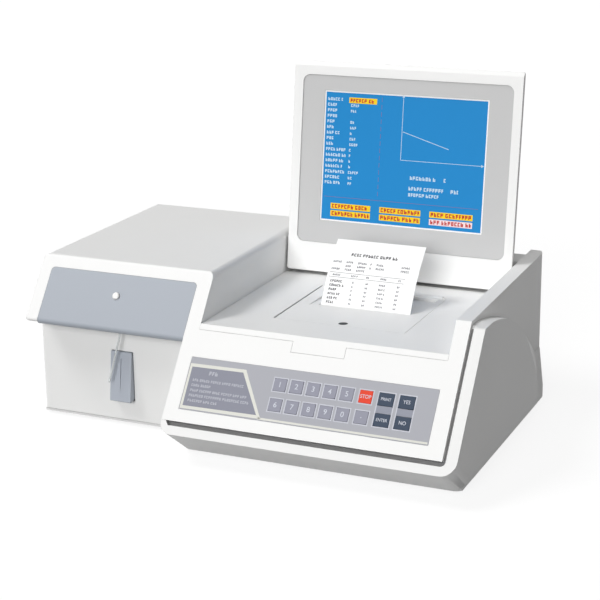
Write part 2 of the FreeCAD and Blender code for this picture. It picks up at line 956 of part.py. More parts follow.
def tube_path(points):
    """Straight runs joined by tangent arcs, each as large as its two runs allow."""
    edges = []
    at = points[0]
    for before, corner, after in zip(points, points[1:], points[2:]):
        come, go = corner - before, after - corner
        turn = come.getAngle(go)
        reach = 0.45 * min(come.Length, go.Length)
        radius = reach / math.tan(turn / 2)
        start = corner - Vector(come).normalize() * reach
        stop = corner + Vector(go).normalize() * reach
        middle = (start + stop) * 0.5
        centre = corner + (middle - corner).normalize() * (radius / math.cos(turn / 2))
        bend = centre + (corner - centre).normalize() * radius
        edges.append(Part.LineSegment(at, start).toShape())
        edges.append(Part.Arc(start, bend, stop).toShape())
        print("sipper tube bend radius %.1f mm" % radius)
        at = stop
    edges.append(Part.LineSegment(at, points[-1]).toShape())
    return Part.Wire(edges)


def make_sipper_tube():
    points = tube_points()
    path = tube_path(points)
    ring = Part.Wire([Part.makeCircle(tube_radius, points[0], points[1] - points[0])])
    tube = path.makePipeShell([ring], True, True)
    ideal = math.pi * tube_radius**2 * path.Length
    share = tube.Volume / ideal
    print("sipper tube length %.2f mm, volume against section times length %.4f" % (path.Length, share))
    return tube


def make_sipper_nozzle():
    """The collar that the sipper tube comes out of, seated in the head panel's underside."""
    x, y = tube_start_x, tube_start_y
    low, seat = head_low - nozzle_length, head_low - nose_drop
    collar = rod_z(x, y, low, seat, nozzle_radius)
    collar = soften(collar, 1.5, lambda e: abs(e.BoundBox.Center.z - low) < 0.01)
    return joined([collar, rod_z(x, y, seat, head_low + 11, nozzle_stem)])


# Keypad


def key_places():
    """Centre and width of each key: five digits and the red key, six below them, then four blue keys."""
    places = []
    for u in (upper_row_u, lower_row_u):
        for i in range(5):
            places.append((first_key_x + i * key_pitch, u, key_width))
        places.append((red_key_x, u, key_width))
    for i in range(2):
        for u in (upper_row_u, lower_row_u):
            places.append((blue_key_x + i * blue_key_pitch, u, blue_key_width))
    return places


key_names = ["key_1", "key_2", "key_3", "key_4", "key_5", "key_stop"]
key_names += ["key_6", "key_7", "key_8", "key_9", "key_0", "key_point"]
key_names += ["key_print", "key_enter", "key_yes", "key_no"]


def face_depth(point):
    """How far a point lies behind the sloping front."""
    return point.y * along_z - point.z * along_y


def on_key_top(edge):
    return all(abs(face_depth(v.Point) + key_proud) < 0.01 for v in edge.Vertexes)


def key_outline(x, u, width, grow, radius=0.0):
    reach, tall = width / 2 + grow, key_height / 2 + grow
    return rectangle(x - reach, x + reach, u - tall, u + tall, radius)


def make_keypad():
    pad = into_slope(rectangle(pad_left, pad_right, pad_low_u, pad_high_u, 1.5), 0, pad_thick)
    windows, domes = [], []
    board_depth = wall + 0.2
    for (x, u, width), name in zip(key_places(), key_names):
        windows.append(into_slope(key_outline(x, u, width, key_gap), -1, 2))
        cap = into_slope(key_outline(x, u, width, 0, key_corner), -key_proud, key_depth)
        cap = soften(cap, key_edge, on_key_top)
        flange = into_slope(key_outline(x, u, width, key_flange), pad_thick + 0.1, key_depth)
        keep(name, joined([cap, flange]))
        domes.append(rod_slope(x, u, board_depth - 0.25, board_depth + 0.1, 4.0))
    keep("keypad_overlay", pad.cut(windows))
    last = blue_key_x + blue_key_pitch + blue_key_width
    low_u, high_u = lower_row_u - board_margin, upper_row_u + board_margin
    plate = rectangle(first_key_x - key_width, last, low_u, high_u)
    keep("keypad_board", joined([into_slope(plate, board_depth, board_depth + board_thick), *domes]))


# Deck, printer cover and printer


def make_deck_tray():
    """The deck inset between the head and the cheek, with its front lip and central tab."""
    top, low = deck_height, deck_height - deck_thick
    left, right = head_width + fit / 2, console_right - fit / 2
    seam = slope_y(deck_seam)
    profile = [
        (seam, deck_seam),
        (deck_front, top, 1.6),
        (deck_back, top, 1.0),
        (deck_back, low),
        (seam + lip_seat_back, low),
        (seam + lip_seat_front, deck_seam),
    ]
    plate = across(profile, left, right)
    low_u, high_u = tab_low / along_z, (deck_seam + 2) / along_z
    tab_outline = [(tab_left, low_u, 1.0), (tab_right, low_u, 1.0), (tab_right, high_u), (tab_left, high_u)]
    tab = into_slope(tab_outline, 0, wall / 2)
    lug_left = barrel_left - cover_pin_length - 2.5
    lug_right = barrel_right + cover_pin_length + 2.5
    lug = block(lug_left, lug_right, cover_hinge_y - 3.2, cover_hinge_y + 6, low - 2.2, low)
    hole = block(
        cover_left - cover_gap_left,
        cover_right + cover_gap_right,
        cover_front - cover_gap_front,
        cover_hinge_y - barrel_radius - 0.4,
        low - 10,
        top + 1,
    )
    slot = block(
        barrel_left - 0.4,
        barrel_right + 0.4,
        cover_hinge_y - barrel_radius - 1,
        cover_hinge_y + barrel_radius + 0.5,
        low - 10,
        top + 1,
    )
    reach = cover_pin_length + 0.3
    radius = cover_pin_radius + 0.08
    bore = rod_x(barrel_left - reach, barrel_right + reach, cover_hinge_y, cover_hinge_z, radius)
    return joined([plate, tab, lug]).cut([hole, slot, bore])


def make_printer_cover():
    """The lid over the paper: a slot, a part that is dished towards the rear, and a hinge barrel."""
    top, low = deck_height, deck_height - cover_thick
    rear = cover_hinge_y - cover_back_gap
    plate = block(cover_left, cover_right, cover_front, rear, low, top)
    y, z, web_half = cover_hinge_y, cover_hinge_z, 1.4
    barrel = rod_x(barrel_left, barrel_right, y, z, barrel_radius)
    web = block(barrel_left, barrel_right, rear - 1, y, z - web_half, z + web_half)
    pins = rod_x(barrel_left - cover_pin_length, barrel_right + cover_pin_length, y, z, cover_pin_radius)
    body = joined([plate, barrel, web, pins])
    dish_front, dish_back = slot_y - dish_lead, rear - 4
    wedge_profile = [
        (dish_front, top + 1),
        (dish_front, top - 0.05),
        (dish_back, top - dish_depth),
        (dish_back, top + 1),
    ]
    wedge = across(wedge_profile, dish_left, dish_right)
    dish_outline = [
        (dish_left, dish_front, 3),
        (dish_right, dish_front, 30),
        (dish_right, dish_back + 1, 3),
        (dish_left, dish_back + 1, 3),
    ]
    dish = wedge.common(upright(dish_outline, low, top + 2))
    half = paper_width / 2 + 1.2
    slot_front = slot_y - slot_ahead
    slot = block(paper_x - half, paper_x + half, slot_front, slot_front + slot_gap, low - 1, top + 1)
    finger = rod_z(finger_x, finger_y, low - 1, top + 1, finger_radius)
    rim = 4.0
    hollow_front = finger_y + finger_radius + rim
    hollow_back = slot_front - 3 * rim
    hollow = block(cover_left + rim, cover_right - rim, hollow_front, hollow_back, low - 1, top - 2.6)
    return body.cut([dish, slot, finger, hollow])


def make_paper_bay():
    """The tub that holds the paper roll, hung under the deck."""
    floor_z = roll_z - roll_radius - fit
    t = bay_wall
    tub = block(bay_x0, bay_x1, bay_y0, bay_y1, floor_z - t, deck_height - deck_thick)
    tub = tub.cut(block(bay_x0 + t, bay_x1 - t, bay_y0 + t, bay_y1 - t, floor_z, deck_height))
    guides = []
    for side in (-1, 1):
        x = paper_x + side * (paper_width / 2 + guide_gap)
        y0, y1 = roll_y - guide_half, roll_y + guide_half
        guides.append(block(x - 1, x + 1, y0, y1, floor_z - 1, roll_z + guide_rise))
    shaft = rod_x(bay_x0 - 5, bay_x1 + 5, platen_y, platen_z, platen_journal + platen_slack)
    return joined([tub, *guides]).cut(shaft)


def make_platen_roller():
    reach = paper_width / 2 + 2
    sleeve = rod_x(paper_x - reach, paper_x + reach, platen_y, platen_z, platen_radius)
    shaft = rod_x(bay_x0 - 2, bay_x1 + 2, platen_y, platen_z, platen_journal)
    x0, x1 = bay_x1 + 1, bay_x1 + 1 + knob_length
    knob = rod_x(x0, x1, platen_y, platen_z, knob_radius)
    teeth = []
    for i in range(knob_teeth):
        turn = math.radians(i * 360 / knob_teeth)
        y, z = platen_y + knob_radius * math.cos(turn), platen_z + knob_radius * math.sin(turn)
        teeth.append(rod_x(x0, x1, y, z, knob_tooth))
    return joined([sleeve, shaft, knob, *teeth])


def make_print_head():
    y0 = platen_y + platen_radius + 0.5
    y1 = y0 + print_head_thick
    bar = block(bay_x0 + bay_wall, bay_x1 - bay_wall, y1 - 1, y1 - 1 + print_bar, platen_z - 9, platen_z + 5)
    reach = paper_width / 2 + 3
    head = block(paper_x - reach, paper_x + reach, y0, y1, platen_z - 6, platen_z + 4)
    return joined([bar, head])


def make_paper_roll():
    half = paper_width / 2
    roll = rod_x(paper_x - half, paper_x + half, roll_y, roll_z, roll_radius)
    return roll.cut(rod_x(paper_x - paper_width, paper_x + paper_width, roll_y, roll_z, roll_core))


def make_paper_slip():
    """The printed slip, a gently bowed sheet that leans back out of the slot."""
    half = paper_thick / 2
    foot = (slot_y + 0.6, deck_height - cover_thick + 1)
    rise = (slot_y + slip_bow_back, deck_height + slip_bow_rise)
    top = (slip_top_y, slip_top_z)
    rows = []
    for shift in (-half, half):
        rows.append([Vector(0, y + shift, z) for y, z in (foot, rise, top)])
    front, back = rows
    face = Part.Face(
        Part.Wire(
            [
                Part.Arc(front[0], front[1], front[2]).toShape(),
                Part.LineSegment(front[2], back[2]).toShape(),
                Part.Arc(back[2], back[1], back[0]).toShape(),
                Part.LineSegment(back[0], front[0]).toShape(),
            ]
        )
    )
    face.translate(Vector(paper_x - paper_width / 2, 0, 0))
    return face.extrude(Vector(paper_width, 0, 0))


# Display, drawn upright with its hinge line at y 0 and z 0, then leaned back and set in place


def display_block(u0, u1, v0, v1, w0, w1, radius=0.0):
    """A piece of the display: u from its left side, v up from its lower edge, w behind its front."""
    corners = rectangle(u0, u1, v0, v1, radius)
    outline = [(display_left + a, b - hinge_up, r) for a, b, r in corners]
    return through(outline, w0 - hinge_in, w1 - hinge_in)


def set_display(shape):
    shape.rotate(Vector(0, 0, 0), Vector(1, 0, 0), -display_lean)
    shape.translate(Vector(0, hinge_y, hinge_z))
    return shape


def make_display():
    width, height = display_width, display_height
    left, right = display_left, display_left + width
    plate = display_block(0, width, 0, height, 0, display_rim, display_corner)
    front_y, top_z = -hinge_in, height - hinge_up
    bevel_profile = [
        (front_y - 1, top_z + 1),
        (front_y - 1, top_z - display_bevel - 1.6),
        (front_y + bevel_depth + 0.6, top_z + 1),
    ]
    bevel = across(bevel_profile, left - 1, right + 1)
    seat_back = 3.0 + bezel_sunk
    seat = display_block(bezel_left, bezel_right, bezel_low, bezel_high, -1, seat_back, bezel_corner)
    u0, u1 = bezel_left + throat_rim, bezel_right - throat_rim
    v0, v1 = bezel_low + throat_rim, bezel_high - throat_rim
    throat = display_block(u0, u1, v0, v1, -1, 20, bezel_corner - 4)
    frame = plate.cut([bevel, seat, throat])
    frame = soften(frame, 0.8, outer_front_edge(front_y))
    keep("display_front_frame", set_display(frame))
    make_bezel_and_screen()
    make_back_shell()
    make_hinge_shaft()


def outer_front_edge(front_y):
    def wanted(edge):
        ends = [v.Point for v in edge.Vertexes]
        if len(ends) != 2 or any(abs(p.y - front_y) > 0.01 for p in ends):
            return False
        return all(abs(p.x - display_left) < 0.01 for p in ends) or all(
            abs(p.x - display_left - display_width) < 0.01 for p in ends
        )

    return wanted


def make_hinge_shaft():
    left, right = display_left + shaft_end, display_left + display_width - shaft_end
    shaft = rod_x(left, right, 0, 0, hinge_radius)
    inset = shell_inset + 5.0
    r = hinge_radius
    flats = []
    for x in (display_left + inset, display_left + display_width - inset - shaft_flat):
        flats.append(block(x, x + shaft_flat, -r - 1.5, r + 4, -r - 2, r + 2))
    keep("hinge_shaft", set_display(joined([shaft, *flats])))


def make_bezel_and_screen():
    gap = 0.2
    u0, u1 = bezel_left + gap, bezel_right - gap
    v0, v1 = bezel_low + gap, bezel_high - gap
    bezel = display_block(u0, u1, v0, v1, bezel_sunk, bezel_sunk + bezel_thick, bezel_corner - gap)
    window = display_block(window_left, window_right, window_low, window_high, -5, 20, 1.0)
    keep("display_bezel", set_display(bezel.cut(window)))
    u0, u1 = window_left + gap, window_right - gap
    v0, v1 = window_low + gap, window_high - gap
    keep("screen_glass", set_display(display_block(u0, u1, v0, v1, glass_front, glass_back, 0.9)))
    u0, u1 = window_left - panel_margin, window_right + panel_margin
    v0, v1 = window_low - panel_margin, window_high + panel_margin
    panel = display_block(u0, u1, v0, v1, panel_front, panel_back)
    tab_start = shell_inset + shell_wall + 0.5
    tabs = []
    for v in (window_low + 10, window_high - 10 - panel_tab):
        for a, b in ((tab_start, u0), (u1, display_width - tab_start)):
            tabs.append(display_block(a, b, v, v + panel_tab, display_rim + 0.02, display_rim + 2))
    keep("lcd_panel", set_display(joined([panel, *tabs])))


def make_back_shell():
    """The rear shell of the display, hollow, with vent slots near its top."""
    u0, u1 = shell_inset, display_width - shell_inset
    v0, v1 = 2.0, display_height - 10
    outer = display_block(u0, u1, v0, v1, display_rim, display_back, 6.0)
    back_y = display_back - hinge_in
    outer = soften(outer, shell_round, lambda e: abs(e.BoundBox.YMin - back_y) < 0.01)
    skin = shell_wall
    a, b = display_rim - 1, display_back - skin
    inner = display_block(u0 + skin, u1 - skin, v0 + skin, v1 - skin, a, b, 3.5)
    inner = soften(inner, shell_round - skin, lambda e: abs(e.BoundBox.YMin - back_y + skin) < 0.01)
    holes = [inner, rod_x(display_left, display_left + display_width, 0, 0, hinge_radius + 0.02)]
    vent_high = v1 - vent_below_top
    half = vent_width / 2
    for i in range(vent_count):
        u = display_width / 2 + (i - (vent_count - 1) / 2) * vent_pitch
        vent = display_block(u - half, u + half, vent_high - vent_length, vent_high, 10, 40, half - 0.1)
        holes.append(vent)
    keep("display_back_shell", set_display(outer.cut(holes)))


def hinge_arm_places():
    return [display_left + arm_inset, display_left + display_width - arm_inset - arm_width]


def make_hinge_bracket(x):
    """An arm that reaches forward from the raised rear of the housing to the display's shaft."""
    front, back = hinge_y - arm_half, rear_deck_y + wall + 6
    low, high = hinge_z - arm_half, hinge_z + arm_half
    arm_outline = [(front, low, arm_half - 0.1), (front, high, arm_half - 0.1), (back, high), (back, low)]
    arm = across(arm_outline, x, x + arm_width)
    y0 = rear_deck_y + wall
    plate = block(x - 3, x + arm_width + 3, y0, y0 + arm_plate, low - 1.6, high + 2)
    bore = rod_x(x - 1, x + arm_width + 1, hinge_y, hinge_z, hinge_radius + 0.05)
    return joined([arm, plate]).cut(bore)


# What stands on the tray inside


def make_optics():
    """The light path from the lamp through the filter wheel and the flow cell to the detector."""
    floor = foot_height + wall
    plate = block(bench_left, bench_right, bench_front, bench_back, bench_top - bench_thick, bench_top)
    inset, leg = 4.0, bench_leg
    legs = []
    for x in (bench_left + inset, bench_right - inset - leg):
        for y in (bench_front + inset, bench_back - inset - leg):
            legs.append(block(x, x + leg, y, y + leg, floor, bench_top - 3))
    keep("optical_bench", joined([plate, *legs]))
    make_lamp()
    make_filters()
    make_cell_and_detector()


def make_lamp():
    x0, x1 = axis_x - lamp_half, axis_x + lamp_half
    back = bench_back - lamp_behind
    front = back - lamp_length
    house = block(x0, x1, front, back, bench_top, axis_z + lamp_rise)
    fins = []
    for i in range(fin_count):
        z = bench_top + 6 + i * fin_pitch
        fins.append(block(x0, x1, back, back + fin_depth, z, z + fin_thick))
    bulb_y = front + 20
    room = rod_y(axis_x, front - 1, bulb_y + 8, axis_z, lamp_bore)
    window = rod_y(axis_x, front - 8, front + 2, axis_z, lamp_window)
    house = joined([house, *fins]).cut([room, window])
    bulb = rod_y(axis_x, bulb_y, bulb_y + 8.5, axis_z, bulb_radius)
    tip = Part.makeSphere(bulb_radius, Vector(axis_x, bulb_y, axis_z))
    keep("lamp_house", joined([house, bulb.fuse(tip)]))


def make_filters():
    x, z = axis_x - wheel_offset, axis_z
    back = bench_back - wheel_behind
    front = back - wheel_thick
    hub_front = front - wheel_hub_length
    wheel = joined([rod_y(x, front, back, z, wheel_radius), rod_y(x, hub_front, front + 0.5, z, wheel_hub)])
    cuts = [rod_y(x, hub_front - 5, back + 5, z, motor_shaft + 0.06)]
    for i in range(filter_count):
        turn = math.radians(i * 360 / filter_count)
        fx, fz = x + wheel_offset * math.cos(turn), z + wheel_offset * math.sin(turn)
        cuts.append(rod_y(fx, front - 1, back - 2, fz, filter_radius))
        cuts.append(rod_y(fx, back - 3, back + 1, fz, filter_hole))
    keep("filter_wheel", wheel.cut(cuts))
    face = hub_front - 8
    motor = rod_y(x, face - motor_length, face, z, motor_radius)
    shaft = rod_y(x, face, back - 2, z, motor_shaft)
    plate = block(x - 24, x + 24, face, face + motor_plate, bench_top, z + motor_radius + 1)
    keep("filter_motor", joined([motor, shaft, plate]))


def make_cell_and_detector():
    y0 = bench_front + cell_ahead
    y1, middle = y0 + cell_length, y0 + cell_length / 2
    top = axis_z + cell_rise
    cell = block(axis_x - cell_half, axis_x + cell_half, y0, y1, bench_top, top)
    cell = joined([cell, rod_z(axis_x, middle, top, top + cell_port_rise, cell_port)])
    light = rod_y(axis_x, y0 - 6, y1 + 4, axis_z, cell_bore)
    keep("flow_cell_block", cell.cut([light, rod_z(axis_x, middle, axis_z, top + cell_port_rise + 10, 1.5)]))
    y0 = bench_front + detector_ahead
    half = detector_half
    board = block(axis_x - half, axis_x + half, y0, y0 + board_thick, bench_top, axis_z + detector_rise)
    start = y0 + board_thick - 0.1
    sensor = rod_y(axis_x, start, start + sensor_length, axis_z, sensor_radius)
    keep("detector_board", joined([board, sensor]))


def make_pump():
    """The peristaltic pump: its body with the motor behind, and the rotor with its rollers."""
    floor = foot_height + wall
    x, z, y0 = pump_x, pump_z, pump_front
    back = y0 + pump_cup_depth
    stand = block(x - pump_base, x + pump_base, y0, y0 + 34, floor, floor + 3)
    post = block(x - pump_post, x + pump_post, back, back + 3, floor, z + pump_cup)
    motor = rod_y(x, back + 3, back + 3 + pump_motor_length, z, pump_motor_radius)
    cup = rod_y(x, y0, back, z, pump_cup).cut([rod_y(x, y0 - 1, back - 3, z, pump_cup - pump_cup_wall)])
    mouth = pump_mouth
    cup = cup.cut(block(x - mouth, x + mouth, y0 - 1, back - 3, z + pump_cup - 11, z + pump_cup + 4))
    spindle = rod_y(x, y0 + 2, back + 2, z, pump_spindle)
    keep("pump_body", joined([stand, post, motor, cup, spindle]))
    y1 = y0 + 2
    far = y1 + rotor_length - rotor_plate
    solids = [
        rod_y(x, y1, y1 + rotor_plate, z, rotor_radius),
        rod_y(x, far, far + rotor_plate, z, rotor_radius),
        rod_y(x, y1 + 1, far + 0.5, z, rotor_hub),
    ]
    for i in range(roller_count):
        turn = math.radians(90 + i * 360 / roller_count)
        rx, rz = x + roller_ring * math.cos(turn), z + roller_ring * math.sin(turn)
        solids.append(rod_y(rx, y1 + 1, far + 0.5, rz, roller_radius))
    keep("pump_rotor", joined(solids).cut(rod_y(x, y0, back + 4, z, pump_spindle + 0.06)))


def make_electronics():
    """The main board with its larger chips, and the power supply in its case."""
    floor = foot_height + wall
    supply_left = supply_right - supply_width
    x0, x1, y0, y1 = main_left, supply_left - main_gap, main_front, main_back
    low = floor + post_height
    top = low + board_thick
    board = block(x0, x1, y0, y1, low, top)
    posts = []
    for x in (x0 + post_inset, x1 - post_inset):
        for y in (y0 + post_inset, y1 - post_inset):
            posts.append(rod_z(x, y, floor, low + 0.5, post_radius))
    chips = [
        block(x0 + 26, x0 + 54, y0 + 50, y0 + 78, low + 1, top + 2.4),
        block(x1 - 64, x1 - 46, y0 + 60, y0 + 100, low + 1, top + 3.4),
        block(x0 + 26, x0 + 40, y0 + 120, y0 + 150, low + 1, top + 2.9),
        block(x1 - 42, x1 - 10, y0 + 150, y0 + 162, low + 1, top + 7.4),
    ]
    keep("main_board", joined([board, *posts, *chips]))
    y0, y1 = supply_back - supply_depth, supply_back
    top = floor + supply_height
    supply = block(supply_left, supply_right, y0, y1, floor, top)
    ribs = []
    for i in range(supply_rib_count):
        x = supply_left + 6 + i * supply_rib_pitch
        ribs.append(block(x, x + supply_rib, y0, y1, top, top + 2))
    keep("power_supply", joined([supply, *ribs]))


def plates_round(sides, hole, y0, y1):
    """Four plates that leave a hole open between them."""
    left, right, low, high = sides
    x0, x1, z0, z1 = hole
    seam = plate_seam
    return [
        block(left, x0, y0, y1, low, high),
        block(x1, right, y0, y1, low, high),
        block(x0 + seam, x1 - seam, y0, y1, low, z0),
        block(x0 + seam, x1 - seam, y0, y1, z1, high),
    ]


def hole_round(x, z, half_x, half_z):
    """The sides of a hole that clears a part of this half size by the usual fit."""
    return x - half_x - fit, x + half_x + fit, z - half_z - fit, z + half_z + fit


def make_rear():
    """The metal rear panel in plates: fan grille, mains inlet, power switch and data socket."""
    outer_y = rear_y - 0.3
    inner_y = outer_y - panel_sheet
    front, back = outer_y - 3, outer_y + 1
    reach = panel_rim - fit
    left, right = panel_x0 - reach, panel_x1 + reach
    low, high = panel_z0 - reach, panel_z1 + reach
    bar = grille_bar
    bars = [
        block(fan_x - fan_size, fan_x + fan_size, front - 2, back + 1, fan_z - bar, fan_z + bar),
        block(fan_x - bar, fan_x + bar, front - 2, back + 1, fan_z - fan_size, fan_z + fan_size),
    ]
    rings = []
    for ring in grille_rings:
        outer = rod_y(fan_x, front, back, fan_z, ring + grille_half)
        slot = outer.cut(rod_y(fan_x, front - 1, back + 1, fan_z, ring - grille_half))
        rings.append(slot.cut(bars))
    louvres = []
    for i in range(louvre_count):
        x = panel_x0 + louvre_start + i * louvre_pitch
        outline = rectangle(x - grille_half, x + grille_half, louvre_low, louvre_high, 1.5)
        louvres.append(through(outline, front, back))
    seam = plate_seam
    port_left, port_right = port_x - port_plate, port_x + port_plate
    inlet_left = inlet_x - inlet_plate
    middle = (inlet_z + inlet_half_z + switch_z - switch_half_z) / 2
    port_hole = hole_round(port_x, port_z, port_half_x, port_half_z)
    inlet_hole = hole_round(inlet_x, inlet_z, inlet_half_x, inlet_half_z)
    switch_hole = hole_round(switch_x, switch_z, switch_half_x, switch_half_z)
    plates = [
        block(left, port_left - seam, inner_y, outer_y, low, high).cut(louvres),
        block(port_right + seam, inlet_left - seam, inner_y, outer_y, low, high).cut(rings),
        *plates_round((port_left, port_right, low, high), port_hole, inner_y, outer_y),
        *plates_round((inlet_left, right, low, middle), inlet_hole, inner_y, outer_y),
        *plates_round((inlet_left, right, middle + seam, high), switch_hole, inner_y, outer_y),
    ]
    keep("rear_panel", Part.makeCompound(plates))
    make_fan(outer_y - panel_sheet)
    make_inlet(outer_y)
    make_port(outer_y)
    make_switch(outer_y)


def make_fan(face_y):
    half = fan_size / 2
    y1, y0 = face_y, face_y - fan_depth
    body = through(rectangle(fan_x - half, fan_x + half, fan_z - half, fan_z + half, 4), y0, y1)
    body = body.cut(rod_y(fan_x, y0 - 1, y1 + 1, fan_z, half - fan_wall))
    reach, arm = half - 1, fan_arm / 2
    arms = [
        block(fan_x - reach, fan_x + reach, y0, y0 + 2, fan_z - arm, fan_z + arm),
        block(fan_x - arm, fan_x + arm, y0, y0 + 2, fan_z - reach, fan_z + reach),
    ]
    pin = rod_y(fan_x, y0 + 1, y0 + 14, fan_z, 1.5)
    keep("fan_frame", joined([body, *arms, rod_y(fan_x, y0, y0 + 2, fan_z, fan_hub + 1), pin]))
    hub = rod_y(fan_x, y0 + 3, y1 - 1.5, fan_z, fan_hub)
    blades = []
    for i in range(fan_blades):
        y = y0 + 7
        blade = block(fan_hub - 2, half - 2.4, y, y + blade_thick, -blade_width / 2, blade_width / 2)
        blade.rotate(Vector(15, y + 1, 0), Vector(1, 0, 0), blade_pitch)
        blade.rotate(Vector(0, 0, 0), Vector(0, 1, 0), i * 360 / fan_blades)
        blade.translate(Vector(fan_x, 0, fan_z))
        blades.append(blade)
    keep("fan_rotor", joined([hub, *blades]).cut(rod_y(fan_x, y0, y0 + 14.5, fan_z, 1.56)))


def make_inlet(outer_y):
    """The mains inlet with its three blades, and the frame of the switch above it."""
    half_x, half_z = inlet_half_x, inlet_half_z
    outline = rectangle(inlet_x - half_x, inlet_x + half_x, inlet_z - half_z, inlet_z + half_z, 2.8)
    body = through(outline, outer_y - inlet_depth, outer_y)
    a, b = socket_half, socket_half - 4
    socket_outline = [
        (inlet_x - a, inlet_z - b, 2),
        (inlet_x + a, inlet_z - b, 2),
        (inlet_x + a, inlet_z + 4, 1),
        (inlet_x + b, inlet_z + b, 1),
        (inlet_x - b, inlet_z + b, 1),
        (inlet_x - a, inlet_z + 4, 1),
    ]
    socket = through(socket_outline, outer_y - socket_depth, outer_y + 1)
    blades = []
    for dx, dz in ((-7, -2), (7, -2), (0, 3)):
        x, z = inlet_x + dx, inlet_z + dz
        y0 = outer_y - socket_depth - 3
        blades.append(block(x - 1, x + 1, y0, y0 + blade_length, z - 2, z + 2))
    y1 = outer_y - panel_sheet
    y0 = y1 - flange_thick
    flange = block(inlet_x - flange_half, inlet_x + flange_half, y0, y1, inlet_z - 12, inlet_z + 12)
    keep("power_inlet", joined([joined([body, flange]).cut(socket), *blades, switch_surround(outer_y)]))


def make_port(outer_y):
    """The data socket: an open shell set in a block behind the panel."""
    half_x, half_z = port_half_x, port_half_z
    outline = rectangle(port_x - half_x, port_x + half_x, port_z - half_z, port_z + half_z, 2)
    y0, y1 = outer_y - port_depth - 4, outer_y - panel_sheet
    shell = through(outline, y0, outer_y)
    low, high = port_z - half_z - 1.1, port_z + half_z + 1.1
    back = block(port_x - port_flange, port_x + port_flange, y0, y1, low, high)
    half_x, half_z = port_half_x - 1, port_half_z - 1
    outline = rectangle(port_x - half_x, port_x + half_x, port_z - half_z, port_z + half_z, 1.5)
    room = through(outline, outer_y - port_depth, outer_y + 1)
    keep("data_socket", joined([back, shell]).cut(room))


def switch_surround(outer_y):
    """The frame of the mains switch, moulded with the inlet below it."""
    half_x, half_z = switch_half_x, switch_half_z
    x0, x1 = switch_x - half_x, switch_x + half_x
    frame = block(x0, x1, outer_y - switch_depth, outer_y, switch_z - half_z, switch_z + half_z)
    y1 = outer_y - panel_sheet
    y0 = y1 - flange_thick
    x0, x1 = switch_x - flange_half, switch_x + flange_half
    flange = block(x0, x1, y0, y1, inlet_z + 11, switch_z + 10)
    half_x, half_z = switch_half_x - 1.4, switch_half_z - 1.3
    x0, x1 = switch_x - half_x, switch_x + half_x
    room = block(x0, x1, outer_y - 12, outer_y + 1, switch_z - half_z, switch_z + half_z)
    pin = rod_z(switch_x, outer_y - 5, switch_z - half_z - 0.9, switch_z + half_z + 0.9, rocker_pin)
    return joined([joined([frame, flange]).cut(room), pin])


def make_switch(outer_y):
    """The rocker of the mains switch, which turns on its middle pin."""
    half = rocker_half
    outline = [
        (switch_x - half, outer_y - 8),
        (switch_x + half, outer_y - 8),
        (switch_x + half + 0.4, outer_y - 0.2),
        (switch_x, outer_y - 2.0),
        (switch_x - half - 0.4, outer_y - 2.6),
    ]
    rocker = upright(outline, switch_z - rocker_tall, switch_z + rocker_tall)
    bore = rod_z(switch_x, outer_y - 5, switch_z - 10, switch_z + 10, rocker_pin + 0.06)
    keep("power_switch", rocker.cut(bore))


def make_feet():
    """Six soft feet, each pressed up against the tray's floor."""
    spots = [
        (40, bay_front + 34),
        (stripe_left - 39.8, bay_front + 44),
        (60, rear_y - 34.5),
        (head_width + 23.1, 110),
        (console_right - 23.3, 110),
        (console_right - 33.3, rear_y - 39.5),
    ]
    low = foot_radius - foot_taper
    pads = [Part.makeCone(low, foot_radius, foot_height, Vector(x, y, 0)) for x, y in spots]
    return Part.makeCompound(pads)


def make_screws():
    """Screws under the tray that hold the housing, their heads in the foot space."""
    spots = [
        (30, rear_y - 14.5),
        (head_width - 6.9, rear_y - 14.5),
        (head_width + 73.1, rear_y - 14.5),
        (console_right - 23.3, rear_y - 94.5),
        (head_width + 73.1, 130),
        (console_right - 43.3, 130),
    ]
    long, thin, deep = screw_cross_long / 2, screw_cross / 2, foot_height - screw_tall / 2
    screws = []
    for x, y in spots:
        head = rod_z(x, y, foot_height - screw_tall, foot_height, screw_radius)
        cross = [
            block(x - long, x + long, y - thin, y + thin, 0, deep),
            block(x - thin, x + thin, y - long, y + long, 0, deep),
        ]
        screws.append(head.cut(cross))
    return Part.makeCompound(screws)


def make_all():
    keep("upper_housing", make_upper_housing())
    keep("lower_tray", make_lower_tray())
    keep("sample_bay", make_sample_bay())
    keep("head_panel", make_head_panel())
    keep("wash_button", make_wash_button())
    keep("aspirate_lever", make_lever())
    keep("lever_spring", make_lever_spring())
    keep("lever_switch", make_lever_switch())
    keep("sipper_nozzle", make_sipper_nozzle())
    keep("sipper_tube", make_sipper_tube())
    make_keypad()
    keep("deck_tray", make_deck_tray())
    keep("printer_cover", make_printer_cover())
    keep("paper_bay", make_paper_bay())
    keep("platen_roller", make_platen_roller())
    keep("print_head", make_print_head())
    keep("paper_roll", make_paper_roll())
    keep("paper_slip", make_paper_slip())
    make_display()
    keep("hinge_brackets", Part.makeCompound([make_hinge_bracket(x) for x in hinge_arm_places()]))
    make_optics()
    make_pump()
    make_electronics()
    make_rear()
    keep("foot_pads", make_feet())
    keep("case_screws", make_screws())


def main():
    make_all()
    os.makedirs("parts", exist_ok=True)
    front_y = on_slope(0, lip_low_u).y
    home = Vector(-total_width / 2, -(front_y + rear_y) / 2, 0)
    print("moved by", tuple(round(v, 4) for v in home))
    for name, shape in sorted(pieces.items()):
        shape = shape.copy()
        shape.translate(home)
        shape.exportStep("parts/%s.step" % name)
        facts = (name, shape.isValid(), len(shape.Solids), shape.Volume)
        print("%-22s valid %s solids %d volume %.0f" % facts)
    print(len(pieces), "pieces")


main()
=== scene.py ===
import json
import math
import random

import bmesh
import bpy
from mathutils import Matrix, Vector


